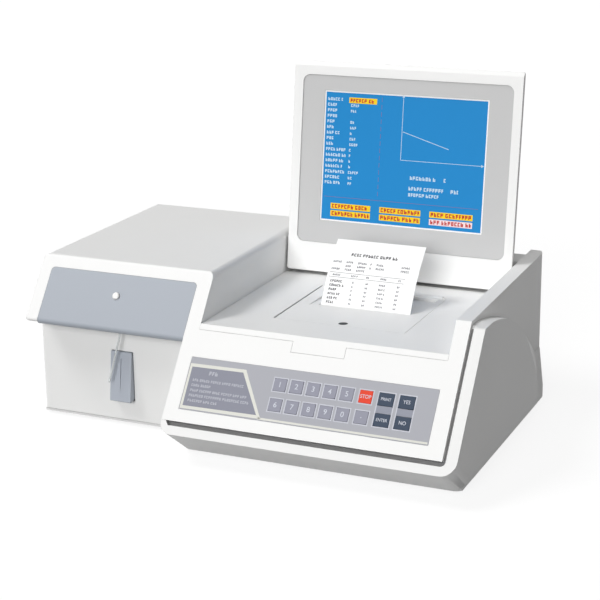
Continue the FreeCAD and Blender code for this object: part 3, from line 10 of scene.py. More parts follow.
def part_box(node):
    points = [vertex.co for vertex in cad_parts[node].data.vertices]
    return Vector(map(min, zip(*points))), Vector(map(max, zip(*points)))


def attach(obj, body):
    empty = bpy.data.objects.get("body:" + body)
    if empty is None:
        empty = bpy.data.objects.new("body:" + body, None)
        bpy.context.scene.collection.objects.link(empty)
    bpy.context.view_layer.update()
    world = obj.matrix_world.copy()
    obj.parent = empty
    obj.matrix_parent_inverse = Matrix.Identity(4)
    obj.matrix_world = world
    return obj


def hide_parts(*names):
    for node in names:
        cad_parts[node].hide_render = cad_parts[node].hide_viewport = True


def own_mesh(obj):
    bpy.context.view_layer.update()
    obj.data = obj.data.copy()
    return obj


# A bench chemistry analyzer: its finishes, its printed marks, its tube and the studio round it.
# Lengths in the named values are millimetres, and MM turns them into the frame's metres.

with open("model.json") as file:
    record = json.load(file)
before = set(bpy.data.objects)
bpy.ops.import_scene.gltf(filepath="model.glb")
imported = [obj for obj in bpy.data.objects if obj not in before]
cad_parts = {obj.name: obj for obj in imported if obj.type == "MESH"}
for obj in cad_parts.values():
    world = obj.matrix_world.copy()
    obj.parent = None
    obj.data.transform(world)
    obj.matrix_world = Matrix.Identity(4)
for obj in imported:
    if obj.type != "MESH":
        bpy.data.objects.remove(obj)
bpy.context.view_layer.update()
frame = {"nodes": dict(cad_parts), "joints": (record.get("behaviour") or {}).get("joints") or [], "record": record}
nodes = frame["nodes"]
joints = {joint["name"]: joint for joint in frame["joints"]}

MM = 0.001

# The two faces that carry print: the sloping console and the leaning display
slope_angle = 53.65
display_lean = 7.6
display_hinge_in = 14.0
display_hinge_up = 12.8
overlay_thick = 0.8

# Camera, fitted to the photograph
camera_azimuth = 23.76
camera_elevation = 16.71
camera_roll = 0.62
camera_distance = 1838.9
camera_lens = 97.9
camera_aim = (57.55, -76.8, 175.9)
camera_shift = (-0.006, -0.002)


def colour(red, green, blue):
    """A shader colour from the 0 to 255 values that it should render as."""

    def linear(value):
        value /= 255
        return value / 12.92 if value <= 0.04045 else ((value + 0.055) / 1.055) ** 2.4

    return (linear(red), linear(green), linear(blue), 1.0)


# Places


def slope_place():
    """Millimetres from the keypad overlay's lower left corner: along x, up the slope, out of it."""
    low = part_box("keypad_overlay")[0]
    angle = math.radians(slope_angle)
    corner = Vector((low.x, low.y, low.z + overlay_thick * MM * math.cos(angle)))
    turn = Matrix.Rotation(angle, 4, "X")
    return Matrix.Translation(corner) @ turn @ Matrix.Scale(MM, 4)


def display_place():
    """Millimetres from the display's lower left corner: along x, up its front, out of it."""
    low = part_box("display_front_frame")[0]
    hinge = joints["display_fold"]["pos_m"]
    lean = Matrix.Rotation(-math.radians(display_lean), 4, "X")
    stand = Matrix.Rotation(math.radians(90), 4, "X")
    corner = Matrix.Translation((0, -display_hinge_in * MM, -display_hinge_up * MM))
    return Matrix.Translation((low.x, hinge[1], hinge[2])) @ lean @ corner @ stand @ Matrix.Scale(MM, 4)


# Meshes


def slab(bm, place, x0, x1, y0, y1, z0, z1):
    """A small block between two corners, in the millimetres of place."""
    middle = Matrix.Translation(((x0 + x1) / 2, (y0 + y1) / 2, (z0 + z1) / 2))
    spread = Matrix.Diagonal((x1 - x0, y1 - y0, z1 - z0, 1))
    bmesh.ops.create_cube(bm, size=1, matrix=place @ middle @ spread)


def plate(bm, place, outline, z0, z1):
    """A flat plate of any outline, in the millimetres of place."""
    corners = [bm.verts.new(place @ Vector((x, y, z0))) for x, y in outline]
    face = bm.faces.new(corners)
    raised = bmesh.ops.extrude_face_region(bm, geom=[face])["geom"]
    top = [item for item in raised if isinstance(item, bmesh.types.BMVert)]
    shift = place.to_3x3() @ Vector((0, 0, z1 - z0))
    bmesh.ops.translate(bm, verts=top, vec=shift)


def ring(bm, place, x0, x1, y0, y1, width, z0, z1):
    """A rectangular outline of the given width, drawn inside its corners."""
    slab(bm, place, x0, x1, y0, y0 + width, z0, z1)
    slab(bm, place, x0, x1, y1 - width, y1, z0, z1)
    slab(bm, place, x0, x0 + width, y0 + width, y1 - width, z0, z1)
    slab(bm, place, x1 - width, x1, y0 + width, y1 - width, z0, z1)


letter_stroke = 0.27
letter_least, letter_most = 0.55, 0.75
letter_gap, word_gap = 0.22, 0.6
line_end = 0.4
shortest_word, longest_word = 3, 8


def letter(bm, place, x, y, wide, tall, z, draw):
    """One small sign of print: an upright stroke with bars to its right, in no real alphabet."""
    low, high = y - tall / 2, y + tall / 2
    stroke = tall * letter_stroke
    slab(bm, place, x, x + stroke, low, high, 0, z)
    for level in draw.sample((0, 1, 2), 2):
        base = low + level * (tall - stroke) / 2
        slab(bm, place, x + stroke, x + wide, base, base + stroke, 0, z)
    if draw.random() < 0.5:
        top = high - stroke if draw.random() < 0.5 else low + tall / 2
        slab(bm, place, x + wide - stroke, x + wide, low + stroke, top, 0, z)


def words(bm, place, x0, x1, y, tall, z, draw):
    """A line of print between x0 and x1, in words of a few letters."""
    x = x0
    left = draw.randint(shortest_word, longest_word)
    while x < x1 - tall * line_end:
        wide = min(tall * draw.uniform(letter_least, letter_most), x1 - x)
        letter(bm, place, x, y, wide, tall, z, draw)
        left -= 1
        x += wide + tall * (letter_gap if left else word_gap)
        left = left or draw.randint(shortest_word, longest_word)


def piece(name, bm, material, body):
    """Makes a bmesh into a finished piece that rides on a body."""
    bmesh.ops.recalc_face_normals(bm, faces=bm.faces)
    mesh = bpy.data.meshes.new(name)
    bm.to_mesh(mesh)
    bm.free()
    made = bpy.data.objects.new(name, mesh)
    bpy.context.scene.collection.objects.link(made)
    made.data.materials.append(material)
    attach(made, body)
    return made


# Shader groups


def new_group(name, inputs, outputs):
    """An empty shader group with number inputs and the given outputs."""
    group = bpy.data.node_groups.new(name, "ShaderNodeTree")
    for label, value in inputs.items():
        socket = group.interface.new_socket(label, in_out="INPUT", socket_type="NodeSocketFloat")
        socket.default_value = value
    for label in outputs:
        group.interface.new_socket(label, in_out="OUTPUT", socket_type="NodeSocketFloat")
    start = group.nodes.new("NodeGroupInput")
    end = group.nodes.new("NodeGroupOutput")
    return group, start.outputs, end.inputs


def add(tree, kind, links=None, **settings):
    """Adds a node, sets its properties, and links or sets its inputs."""
    node = tree.nodes.new(kind)
    for key, value in settings.items():
        setattr(node, key, value)
    for key, value in (links or {}).items():
        if isinstance(value, bpy.types.NodeSocket):
            tree.links.new(value, node.inputs[key])
        else:
            node.inputs[key].default_value = value
    return node


def ranged(tree, value, low, high):
    """Spreads a 0 to 1 value between low and high, which may be sockets."""
    return add(tree, "ShaderNodeMapRange", {"Value": value, "To Min": low, "To Max": high}).outputs["Result"]


def maths(tree, operation, first, second):
    return add(tree, "ShaderNodeMath", {0: first, 1: second}, operation=operation).outputs[0]


def make_moulded_group():
    """The fine spark-eroded grain of moulded plastic, with slow changes of tone and gloss."""
    inputs = {"Grain mm": 0.6, "Depth": 0.5, "Tone": 0.02, "Gloss": 0.04}
    group, given, out = new_group("moulded_surface", inputs, ["Height", "Tone", "Gloss"])
    at = add(group, "ShaderNodeTexCoord").outputs["Object"]
    rate = maths(group, "DIVIDE", 1000.0, given["Grain mm"])
    grain = add(group, "ShaderNodeTexNoise", {"Vector": at, "Scale": rate, "Detail": 3.0, "Roughness": 0.6})
    slow = add(group, "ShaderNodeTexNoise", {"Vector": at, "Scale": 14.0, "Detail": 3.0})
    group.links.new(maths(group, "MULTIPLY", grain.outputs["Fac"], given["Depth"]), out["Height"])
    swing = maths(group, "SUBTRACT", slow.outputs["Fac"], 0.5)
    tone = maths(group, "MULTIPLY", swing, given["Tone"])
    group.links.new(maths(group, "ADD", tone, 1.0), out["Tone"])
    group.links.new(maths(group, "MULTIPLY", swing, given["Gloss"]), out["Gloss"])
    return group


def make_crevice_shade_group():
    """Painted shade: darkens the narrow gaps where two pieces meet, and the roots of steps."""
    inputs = {"Reach mm": 4.0, "Strength": 0.4}
    group, given, out = new_group("crevice_shade", inputs, ["Tone"])
    reach = maths(group, "MULTIPLY", given["Reach mm"], MM)
    open_sky = add(group, "ShaderNodeAmbientOcclusion", {"Distance": reach}, samples=8)
    closed = maths(group, "SUBTRACT", 1.0, open_sky.outputs["AO"])
    shade = maths(group, "MULTIPLY", closed, given["Strength"])
    group.links.new(maths(group, "SUBTRACT", 1.0, shade), out["Tone"])
    return group


def make_brushed_group():
    """Fine scratches that run one way, for rolled and brushed metal."""
    inputs = {"Along x": 1.0, "Depth": 0.4}
    group, given, out = new_group("brushed_metal", inputs, ["Height", "Tone", "Gloss"])
    at = add(group, "ShaderNodeTexCoord").outputs["Object"]
    stretch = add(group, "ShaderNodeCombineXYZ", {"X": given["Along x"], "Y": 60.0, "Z": 60.0})
    drawn = add(group, "ShaderNodeVectorMath", {0: at, 1: stretch.outputs[0]}, operation="MULTIPLY")
    lines = add(group, "ShaderNodeTexNoise", {"Vector": drawn.outputs[0], "Scale": 30.0, "Detail": 4.0})
    group.links.new(maths(group, "MULTIPLY", lines.outputs["Fac"], given["Depth"]), out["Height"])
    group.links.new(ranged(group, lines.outputs["Fac"], 0.85, 1.1), out["Tone"])
    group.links.new(ranged(group, lines.outputs["Fac"], -0.08, 0.08), out["Gloss"])
    return group


moulded_group = make_moulded_group()
crevice_shade_group = make_crevice_shade_group()
brushed_group = make_brushed_group()


# Materials


def new_material(name):
    material = bpy.data.materials.new(name)
    material.use_nodes = True
    tree = material.node_tree
    return material, tree, tree.nodes["Principled BSDF"]


def grouped(tree, group, **values):
    """Places a shader group and sets its named inputs."""
    node = tree.nodes.new("ShaderNodeGroup")
    node.node_tree = group
    for key, value in values.items():
        node.inputs[key.replace("_", " ")].default_value = value
    return node.outputs


def tinted(tree, base, *tones):
    """Multiplies a colour by each tone in turn."""
    for tone in tones:
        grey = add(tree, "ShaderNodeCombineColor", {"Red": tone, "Green": tone, "Blue": tone})
        inputs = {0: 1.0, 6: base, 7: grey.outputs["Color"]}
        mix = add(tree, "ShaderNodeMix", inputs, data_type="RGBA", blend_type="MULTIPLY")
        base = mix.outputs[2]
    return base


def raised(tree, shader, height, distance):
    bump = add(tree, "ShaderNodeBump", {"Height": height, "Distance": distance, "Strength": 1.0})
    tree.links.new(bump.outputs["Normal"], shader.inputs["Normal"])


# Painted shade in crevices: how far it reaches and how dark it makes them
crevice_shade_reach = 5.0
crevice_shade_strength = 0.25
moulded_tone = 0.03
moulded_gloss = 0.12


def moulded(name, base, rough=0.42, grain=0.6, depth=0.04):
    """Moulded plastic with a fine grain, slow tone changes and painted shade in its crevices."""
    material, tree, shader = new_material(name)
    surface = grouped(
        tree, moulded_group, Grain_mm=grain, Depth=1.0, Tone=moulded_tone, Gloss=moulded_gloss
    )
    shade = grouped(tree, crevice_shade_group, Reach_mm=crevice_shade_reach, Strength=crevice_shade_strength)
    tree.links.new(tinted(tree, base, surface["Tone"], shade["Tone"]), shader.inputs["Base Color"])
    tree.links.new(maths(tree, "ADD", surface["Gloss"], rough), shader.inputs["Roughness"])
    raised(tree, shader, surface["Height"], depth * MM)
    shader.inputs["Specular IOR Level"].default_value = 0.4
    return material


ink_rough = 0.5


def ink(name, base):
    """A printed colour with a slight unevenness."""
    material, tree, shader = new_material(name)
    surface = grouped(tree, moulded_group, Grain_mm=0.3, Depth=1.0, Tone=0.10, Gloss=0.1)
    tree.links.new(tinted(tree, base, surface["Tone"]), shader.inputs["Base Color"])
    tree.links.new(maths(tree, "ADD", surface["Gloss"], ink_rough), shader.inputs["Roughness"])
    raised(tree, shader, surface["Height"], 0.01 * MM)
    return material


screen_glow = 0.25


def lit(name, base):
    """A colour on the lit screen: a share of it glows and the rest is lit by the room."""
    material, tree, shader = new_material(name)
    surface = grouped(tree, moulded_group, Grain_mm=0.5, Depth=1.0, Tone=0.06, Gloss=0.02)
    tree.links.new(tinted(tree, base, surface["Tone"]), shader.inputs["Emission Color"])
    shader.inputs["Emission Strength"].default_value = screen_glow
    tree.links.new(tinted(tree, base, surface["Tone"], 1 - screen_glow), shader.inputs["Base Color"])
    shader.inputs["Roughness"].default_value = 0.4
    shader.inputs["Specular IOR Level"].default_value = 0.1
    return material


def metal(name, base, rough=0.35):
    """Brushed metal, with scratches along x and painted shade in its crevices."""
    material, tree, shader = new_material(name)
    surface = grouped(tree, brushed_group, Along_x=1.0, Depth=1.0)
    shade = grouped(tree, crevice_shade_group, Reach_mm=4.0, Strength=0.5)
    tree.links.new(tinted(tree, base, surface["Tone"], shade["Tone"]), shader.inputs["Base Color"])
    tree.links.new(maths(tree, "ADD", surface["Gloss"], rough), shader.inputs["Roughness"])
    raised(tree, shader, surface["Height"], 0.02 * MM)
    shader.inputs["Metallic"].default_value = 1.0
    return material


def paper(name, base):
    """Thermal paper, with faint fibres and a smooth face."""
    material, tree, shader = new_material(name)
    at = add(tree, "ShaderNodeTexCoord").outputs["Object"]
    fibres = add(tree, "ShaderNodeTexNoise", {"Vector": at, "Scale": 900.0, "Detail": 5.0, "Distortion": 1.5})
    tone = ranged(tree, fibres.outputs["Fac"], 0.97, 1.02)
    tree.links.new(tinted(tree, base, tone), shader.inputs["Base Color"])
    shader.inputs["Roughness"].default_value = 0.55
    raised(tree, shader, fibres.outputs["Fac"], 0.02 * MM)
    return material


def clear_tube(name):
    material, tree, shader = new_material(name)
    surface = grouped(tree, moulded_group, Grain_mm=2.0, Depth=1.0, Tone=0.03, Gloss=0.04)
    tree.links.new(tinted(tree, colour(236, 240, 240), surface["Tone"]), shader.inputs["Base Color"])
    tree.links.new(maths(tree, "ADD", surface["Gloss"], 0.22), shader.inputs["Roughness"])
    shader.inputs["Transmission Weight"].default_value = 0.35
    shader.inputs["IOR"].default_value = 1.4
    return material


white = colour(242, 242, 241)
materials = {
    "housing_white": moulded("housing_plastic", white),
    "tray_white": moulded("tray_plastic", colour(237, 237, 236)),
    "lever_grey": moulded("lever_plastic", colour(178, 184, 194)),
    "panel_blue_grey": moulded("head_panel_paint", colour(167, 173, 182), rough=0.38),
    "button_white": moulded("button_plastic", colour(246, 246, 244), rough=0.25, depth=0.01),
    # The display shell is a whiter white than the housing: painted light for the brighter light on the display
    "display_shell": moulded("display_shell_plastic", colour(246, 246, 245)),
    "bezel_grey": moulded("bezel_plastic", colour(198, 198, 198), rough=0.5),
    "screen": lit("screen_blue", colour(38, 138, 204)),
    "overlay_grey": moulded("overlay_film", colour(167, 168, 175), rough=0.45, grain=0.4, depth=0.02),
    "key_grey": moulded("number_key_film", colour(143, 144, 158), rough=0.45, grain=0.4, depth=0.02),
    "key_red": moulded("stop_key_film", colour(222, 52, 4), rough=0.45, grain=0.4, depth=0.02),
    "key_blue": moulded("command_key_film", colour(32, 50, 72), rough=0.45, grain=0.4, depth=0.02),
    "paper_white": paper("thermal_paper", colour(250, 250, 250)),
    "rubber_black": moulded("foot_rubber", colour(44, 44, 44), rough=0.75, grain=0.9, depth=0.08),
    "steel": metal("brushed_steel", colour(176, 177, 180)),
    "inner_black": moulded("black_plastic", colour(32, 33, 35), rough=0.5),
    "inner_grey": moulded("grey_plastic", colour(104, 106, 110)),
    "aluminium": metal("milled_aluminium", colour(200, 202, 206), rough=0.4),
    "motor_steel": metal("motor_steel", colour(130, 131, 134), rough=0.45),
    "supply_case": moulded("supply_case", colour(150, 152, 156)),
    "board_green": moulded("board_lacquer", colour(24, 92, 58), rough=0.3, depth=0.02),
    "tube_clear": clear_tube("tube_plastic"),
    "nozzle_white": moulded("nozzle_plastic", colour(214, 216, 218), rough=0.3),
}

for entry in frame["record"]["subparts"]:
    mesh = nodes[entry["node"]].data
    mesh.materials.clear()
    mesh.materials.append(materials[entry["material_slot"]])


# Finish of the carried-over parts: merged, with softly broken edges and shaded by angle


smooth_angle = 32


def make_smooth_group():
    """Geometry nodes that shade a mesh smooth, except across edges sharper than an angle."""
    group = bpy.data.node_groups.new("smooth_by_angle", "GeometryNodeTree")
    group.interface.new_socket("Geometry", in_out="INPUT", socket_type="NodeSocketGeometry")
    group.interface.new_socket("Geometry", in_out="OUTPUT", socket_type="NodeSocketGeometry")
    start = group.nodes.new("NodeGroupInput")
    end = group.nodes.new("NodeGroupOutput")
    faces = group.nodes.new("GeometryNodeSetShadeSmooth")
    faces.domain = "FACE"
    edges = group.nodes.new("GeometryNodeSetShadeSmooth")
    edges.domain = "EDGE"
    edges.inputs["Shade Smooth"].default_value = False
    angle = group.nodes.new("GeometryNodeInputMeshEdgeAngle")
    sharp = group.nodes.new("FunctionNodeCompare")
    sharp.operation = "GREATER_THAN"
    sharp.inputs["B"].default_value = math.radians(smooth_angle)
    group.links.new(angle.outputs["Unsigned Angle"], sharp.inputs["A"])
    group.links.new(start.outputs[0], faces.inputs["Geometry"])
    group.links.new(faces.outputs[0], edges.inputs["Geometry"])
    group.links.new(sharp.outputs[0], edges.inputs["Selection"])
    group.links.new(edges.outputs[0], end.inputs[0])
    return group


smooth_group = make_smooth_group()
weld_reach = 0.002
flat_angle = 0.4
broken_angle = 35
broken_segments = 2


def dress(made, width):
    """Merges a mesh, breaks its sharp edges by width in millimetres, and shades it by angle."""
    mesh = made.data
    if "custom_normal" in mesh.attributes:
        mesh.attributes.remove(mesh.attributes["custom_normal"])
    mesh.polygons.foreach_set("use_smooth", [True] * len(mesh.polygons))
    merge = made.modifiers.new("merge", "WELD")
    merge.merge_threshold = weld_reach * MM
    flatten = made.modifiers.new("flatten", "DECIMATE")
    flatten.decimate_type = "DISSOLVE"
    flatten.angle_limit = math.radians(flat_angle)
    if width:
        broken = made.modifiers.new("broken_edges", "BEVEL")
        broken.width = width * MM
        broken.segments = broken_segments
        broken.limit_method = "ANGLE"
        broken.angle_limit = math.radians(broken_angle)
        broken.profile = 0.5
        broken.material = -1
    smooth = made.modifiers.new("smooth", "NODES")
    smooth.node_group = smooth_group
    even = made.modifiers.new("even_shading", "WEIGHTED_NORMAL")
    even.keep_sharp = True


wide_edges = {"upper_housing": 0.8, "lower_tray": 0.8, "sample_bay": 0.5, "head_panel": 0.4}
wide_edges |= {"aspirate_lever": 0.8, "deck_tray": 0.4, "printer_cover": 0.5, "display_front_frame": 0.5}
common_edge = 0.3
plain_edges = {"keypad_overlay", "paper_roll", "screen_glass", "wash_button", "lever_spring", "hinge_shaft"}
for name, node in nodes.items():
    is_key = name.startswith("key_") and not name.endswith("board")
    is_plain = is_key or name in plain_edges
    dress(node, 0.0 if is_plain else wide_edges.get(name, common_edge))


# Sipper tube, along the points that its solid follows

# The exit is in metres, and the steps from it are in millimetres
tube_exit = (-0.1637, -0.1098012, 0.1204)
tube_steps = [(0, 0, 0), (0, 0, -6), (-4.0, -1.9, -20.5), (-8.6, -4.6, -42), (-13, -7.2, -62)]
tube_radius = 1.1


def make_tube():
    curve = bpy.data.curves.new("sipper_line", "CURVE")
    curve.dimensions = "3D"
    line = curve.splines.new("NURBS")
    line.points.add(len(tube_steps) - 1)
    for point, step in zip(line.points, tube_steps):
        place = Vector(tube_exit) + Vector(step) * MM
        point.co = (*place, 1)
    line.order_u = 3
    line.use_endpoint_u = True
    line.resolution_u = 16
    curve.bevel_depth = tube_radius * MM
    curve.bevel_resolution = 6
    curve.use_fill_caps = True
    curve.materials.append(materials["tube_clear"])
    tube = bpy.data.objects.new("sipper_line", curve)
    bpy.context.scene.collection.objects.link(tube)
    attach(tube, "base")
    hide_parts("sipper_tube")


make_tube()


# Print on the slope, the keys, the screen and the slip


def plates(name, material, place, body, draw):
    """One thin printed piece: draw adds its blocks to the mesh, in the millimetres of place."""
    bm = bmesh.new()
    draw(bm, place)
    return piece(name, bm, material, body)


slope = slope_place()
display = display_place()
ink_thick = 0.06
field_rise = 1.5 * ink_thick
words_rise = 2.4 * ink_thick

cream = ink("cream_ink", colour(218, 218, 210))
notice_ink = ink("notice_ink", colour(129, 131, 144))
pale_ink = ink("pale_ink", colour(176, 178, 188))
outline_ink = ink("outline_ink", colour(195, 197, 206))
band_ink = ink("band_ink", colour(138, 141, 154))

# The notice, in the slope's millimetres
field_corners = [(3.3, 50.4), (66.5, 51.3), (94.1, 5.5), (3.5, 4.7)]
border_corners = [(0.6, 54.2), (69.3, 55.0), (100.2, 1.7), (0.6, 1.2)]
foot_line = (96, 293.5, 1.0, 3.3)
title_left, title_right, title_y = 26, 39, 45.0
title_tall = 4.6
notice_rows = [(35.5, 72), (29.5, 33), (23.5, 78), (17.5, 82), (11.5, 44)]
notice_left = 8
notice_tall = 3.0
notice_seed = 4


def notice_field(bm, place):
    plate(bm, place, field_corners, 0, field_rise)


def notice_border(bm, place):
    plate(bm, place, border_corners, 0, ink_thick)
    slab(bm, place, *foot_line, 0, ink_thick)


def notice_words(bm, place):
    """A short title and its rows, each row by its height and its right end."""
    draw = random.Random(notice_seed)
    words(bm, place, title_left, title_right, title_y, title_tall, words_rise, draw)
    for y, right in notice_rows:
        words(bm, place, notice_left, right, y, notice_tall, words_rise, draw)


# The groove between the lip and the console and its strip of painted shade, in the slope's millimetres
groove_floor = -6.0
groove_left, groove_right = -12.2, 317.2
groove_low, groove_high = -20.4, -14.5
groove_across = 4.0
groove_top = 135.0
shade_strip_thick = 0.15
shade_strip_crest = -1.0


def groove_shade_strip(bm, place):
    """Painted shade: a thin grey strip on the floor and the inner wall of the groove between lip and console."""
    low, high = groove_floor, groove_floor + shade_strip_thick
    turn = groove_right - groove_across
    wall = groove_high - shade_strip_thick
    slab(bm, place, groove_left, groove_right, groove_low, groove_high, low, high)
    slab(bm, place, groove_left, turn, wall, groove_high, high, shade_strip_crest)
    slab(bm, place, turn, groove_right, groove_high, groove_top, low, high)


# Painted shade: the grey strip stands in for the shadow down in the groove
shadow_grey = moulded("groove_painted_shade", colour(132, 132, 132))
plates("groove_shade_strip", shadow_grey, slope, "base", groove_shade_strip)
plates("notice_border", cream, slope, "base", notice_border)
plates("notice_field", notice_ink, slope, "base", notice_field)
plates("notice_words", pale_ink, slope, "base", notice_words)

# The dark cup in the finger hole is painted shade
finger_hole = (98.5, -59.4)
finger_hole_shade_radius = 5.45
finger_hole_shade_thick = 0.6
finger_hole_shade_drop = 1.2
finger_hole_shade_sides = 40


def make_finger_hole_shade():
    """Painted shade: a dark cup in the lid's finger hole, so that the hole reads dark."""
    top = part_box("printer_cover")[1].z - finger_hole_shade_drop * MM
    bm = bmesh.new()
    depth = finger_hole_shade_thick * MM
    place = Matrix.Translation((finger_hole[0] * MM, finger_hole[1] * MM, top - depth / 2))
    radius = finger_hole_shade_radius * MM
    sizes = {"radius1": radius, "radius2": radius, "depth": depth}
    bmesh.ops.create_cone(bm, cap_ends=True, segments=finger_hole_shade_sides, matrix=place, **sizes)
    piece("finger_hole_shade", bm, materials["inner_black"], "cover")


make_finger_hole_shade()

# The pale strip over the trough, painted light that lightens the shaded gap below the display, in the frame's
# millimetres
painted_light_strip_sides = (-49.0, 242.0)
painted_light_strip_reach = (118.9, 135.2)
painted_light_strip_top = 143.2
painted_light_strip_thick = 0.8


def painted_light_strip(bm, place):
    """Painted light: a pale strip over the trough, below the foot of the display, that lightens the shade there.
    """
    low = painted_light_strip_top - painted_light_strip_thick
    slab(bm, place, *painted_light_strip_sides, *painted_light_strip_reach, low, painted_light_strip_top)


frame_place = Matrix.Scale(MM, 4)
# Painted light: the pale strip lightens the shaded gap under the display
plates("painted_light_strip", materials["housing_white"], frame_place, "base", painted_light_strip)

# The keys, in the slope's millimetres
key_rows = {"upper": 43.0, "lower": 19.7}
first_key = 113.5
key_pitch = 19.8
red_key = 214.5
blue_keys = (238.0, 261.6)
keys_in_row = 5
key_proud = 0.6
outline_half_wide, outline_half_tall = 8.9, 8.7
outline_width = 1.3
blue_half_wide, blue_low, blue_high = 10.3, 11.0, 51.7
band_half_wide, band_low, band_high = 8.8, 27.4, 35.3


def key_frames(bm, place):
    """A thin outline round each grey and red key, and round each pair of blue keys."""
    wide, tall, line = outline_half_wide, outline_half_tall, outline_width
    places = [first_key + i * key_pitch for i in range(keys_in_row)] + [red_key]
    for y in key_rows.values():
        for x in places:
            ring(bm, place, x - wide, x + wide, y - tall, y + tall, line, 0, ink_thick)
    for x in blue_keys:
        ring(bm, place, x - blue_half_wide, x + blue_half_wide, blue_low, blue_high, line, 0, ink_thick)


def key_bands(bm, place):
    for x in blue_keys:
        slab(bm, place, x - band_half_wide, x + band_half_wide, band_low, band_high, 0, ink_thick)


plates("key_outlines", outline_ink, slope, "base", key_frames)
plates("key_bands", band_ink, slope, "base", key_bands)


letter_swell = 0.006


def mark_key(key, text, x, y, size, wide=1.0):
    """Raised letters centred on a key, which they ride on, in the slope's millimetres."""
    name, body = f"mark_{key}", f"key_{key}_cap"
    curve = bpy.data.curves.new(name, "FONT")
    curve.body = text
    curve.size = size
    curve.align_x = "CENTER"
    curve.align_y = "CENTER"
    curve.extrude = ink_thick / 2
    curve.offset = size * letter_swell
    source = bpy.data.objects.new(name, curve)
    mesh = bpy.data.meshes.new_from_object(source)
    bpy.data.objects.remove(source)
    mesh.transform(Matrix.Translation((x, y, key_proud + ink_thick / 2)) @ Matrix.Diagonal((wide, 1, 1, 1)))
    mesh.transform(slope)
    mesh.name = name
    made = bpy.data.objects.new(name, mesh)
    bpy.context.scene.collection.objects.link(made)
    made.data.materials.clear()
    made.data.materials.append(key_ink)
    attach(made, body)


key_ink = ink("key_ink", colour(205, 208, 218))
digit_size = 8.5
point_size, point_rise = 9, 2
word_size, long_word_size = 5.8, 4.8
longest_large_word = 4
word_wide = 0.9

for row, digits in (("upper", "12345"), ("lower", "67890")):
    for i, digit in enumerate(digits):
        mark_key(digit, digit, first_key + i * key_pitch, key_rows[row], digit_size)
mark_key("point", ".", red_key, key_rows["lower"] + point_rise, point_size)
for name, x, row, slot in (
    ("yes", blue_keys[1], "upper", "key_blue"),
    ("no", blue_keys[1], "lower", "key_blue"),
    ("stop", red_key, "upper", "key_red"),
    ("print", blue_keys[0], "upper", "key_blue"),
    ("enter", blue_keys[0], "lower", "key_blue"),
):
    size = long_word_size if len(name) > longest_large_word else word_size
    mark_key(name, name.upper(), x, key_rows[row], size, word_wide)


# Screen picture

# The window's sides and the letters are in the display's millimetres. Places on the picture are
# shares of its width, from the left, and of its height, from the top.
window_left, window_right, window_low, window_high = 41.0, 251.0, 64.7, 224.8
glass_sunk = 2.2
screen_at = display @ Matrix.Translation((window_left, window_low, -glass_sunk))
screen_wide = window_right - window_left
screen_tall = window_high - window_low
edge_width = 1.7

screen_edge = lit("screen_edge", colour(252, 252, 252))
screen_white = lit("screen_white", colour(200, 222, 238))
screen_dim = lit("screen_dim", colour(120, 112, 160))
screen_yellow = lit("screen_yellow", colour(252, 212, 40))
screen_pink = lit("screen_pink", colour(246, 222, 224))
screen_red = lit("screen_red", colour(196, 60, 60))


def on_screen(bm, place, s0, s1, t0, t1):
    """A flat bar on the picture, from shares of its width from the left and its height from the top."""
    x0, x1 = s0 * screen_wide, s1 * screen_wide
    y0, y1 = (1 - t1) * screen_tall, (1 - t0) * screen_tall
    slab(bm, place, x0, x1, y0, y1, 0, ink_thick)


def screen_words(bm, place, s0, s1, t, tall, draw, level=1):
    y = (1 - t) * screen_tall
    words(bm, place, s0 * screen_wide, s1 * screen_wide, y, tall, ink_thick * level, draw)


# The list on the left: how wide each label and its value are
label_widths = [0.092, 0.055, 0.065, 0.06, 0.055, 0.05, 0.08, 0.045]
label_widths += [0.05, 0.125, 0.125, 0.12, 0.105, 0.125, 0.1, 0.1]
value_widths = [0, 0.065, 0.033, 0, 0.025, 0.045, 0.012, 0.035]
value_widths += [0.05, 0.012, 0.012, 0.012, 0.014, 0.063, 0.027, 0.027]
label_left, value_left = 0.02, 0.165
label_tall, value_tall = 3.7, 3.3
list_top, list_step = 0.062, 0.0426
list_seed = 7

# The results below the chart: a height from the top, a letter height and the spans across
result_rows = [
    (0.62, 4.4, [(0.55, 0.715), (0.755, 0.775)]),
    (0.70, 4.4, [(0.545, 0.755), (0.80, 0.845)]),
    (0.747, 4.0, [(0.545, 0.735)]),
]


def white_print(bm, place):
    draw = random.Random(list_seed)
    for i, (label, value) in enumerate(zip(label_widths, value_widths)):
        t = list_top + list_step * i
        screen_words(bm, place, label_left, label_left + label, t, label_tall, draw)
        if value:
            screen_words(bm, place, value_left, value_left + value, t, value_tall, draw)
    for t, tall, spans in result_rows:
        for s0, s1 in spans:
            screen_words(bm, place, s0, s1, t, tall, draw)


chart_upright = (0.4855, 0.4885, 0.005, 0.492)
chart_level = (0.487, 0.985, 0.489, 0.4925)
chart_arrows = [(0.487, 0.012, 90), (0.978, 0.4908, 0)]
arrow_corners = [(-1.2, -1.6), (2.4, 0), (-1.2, 1.6)]
trace_start, trace_stop = (0.493, 0.277), (0.775, 0.386)
trace_half_width = 0.35


def screen_point(s, t):
    return Vector((s * screen_wide, (1 - t) * screen_tall, 0))


def chart_lines(bm, place):
    """Two axes with arrow heads and one falling trace."""
    on_screen(bm, place, *chart_upright)
    on_screen(bm, place, *chart_level)
    for s, t, turn in chart_arrows:
        at = Matrix.Translation(screen_point(s, t)) @ Matrix.Rotation(math.radians(turn), 4, "Z")
        plate(bm, place @ at, arrow_corners, 0, ink_thick)
    start, stop = screen_point(*trace_start).xy, screen_point(*trace_stop).xy
    side = (stop - start).orthogonal().normalized() * trace_half_width
    corners = [start - side, stop - side, stop + side, start + side]
    plate(bm, place, [tuple(c) for c in corners], 0, ink_thick)


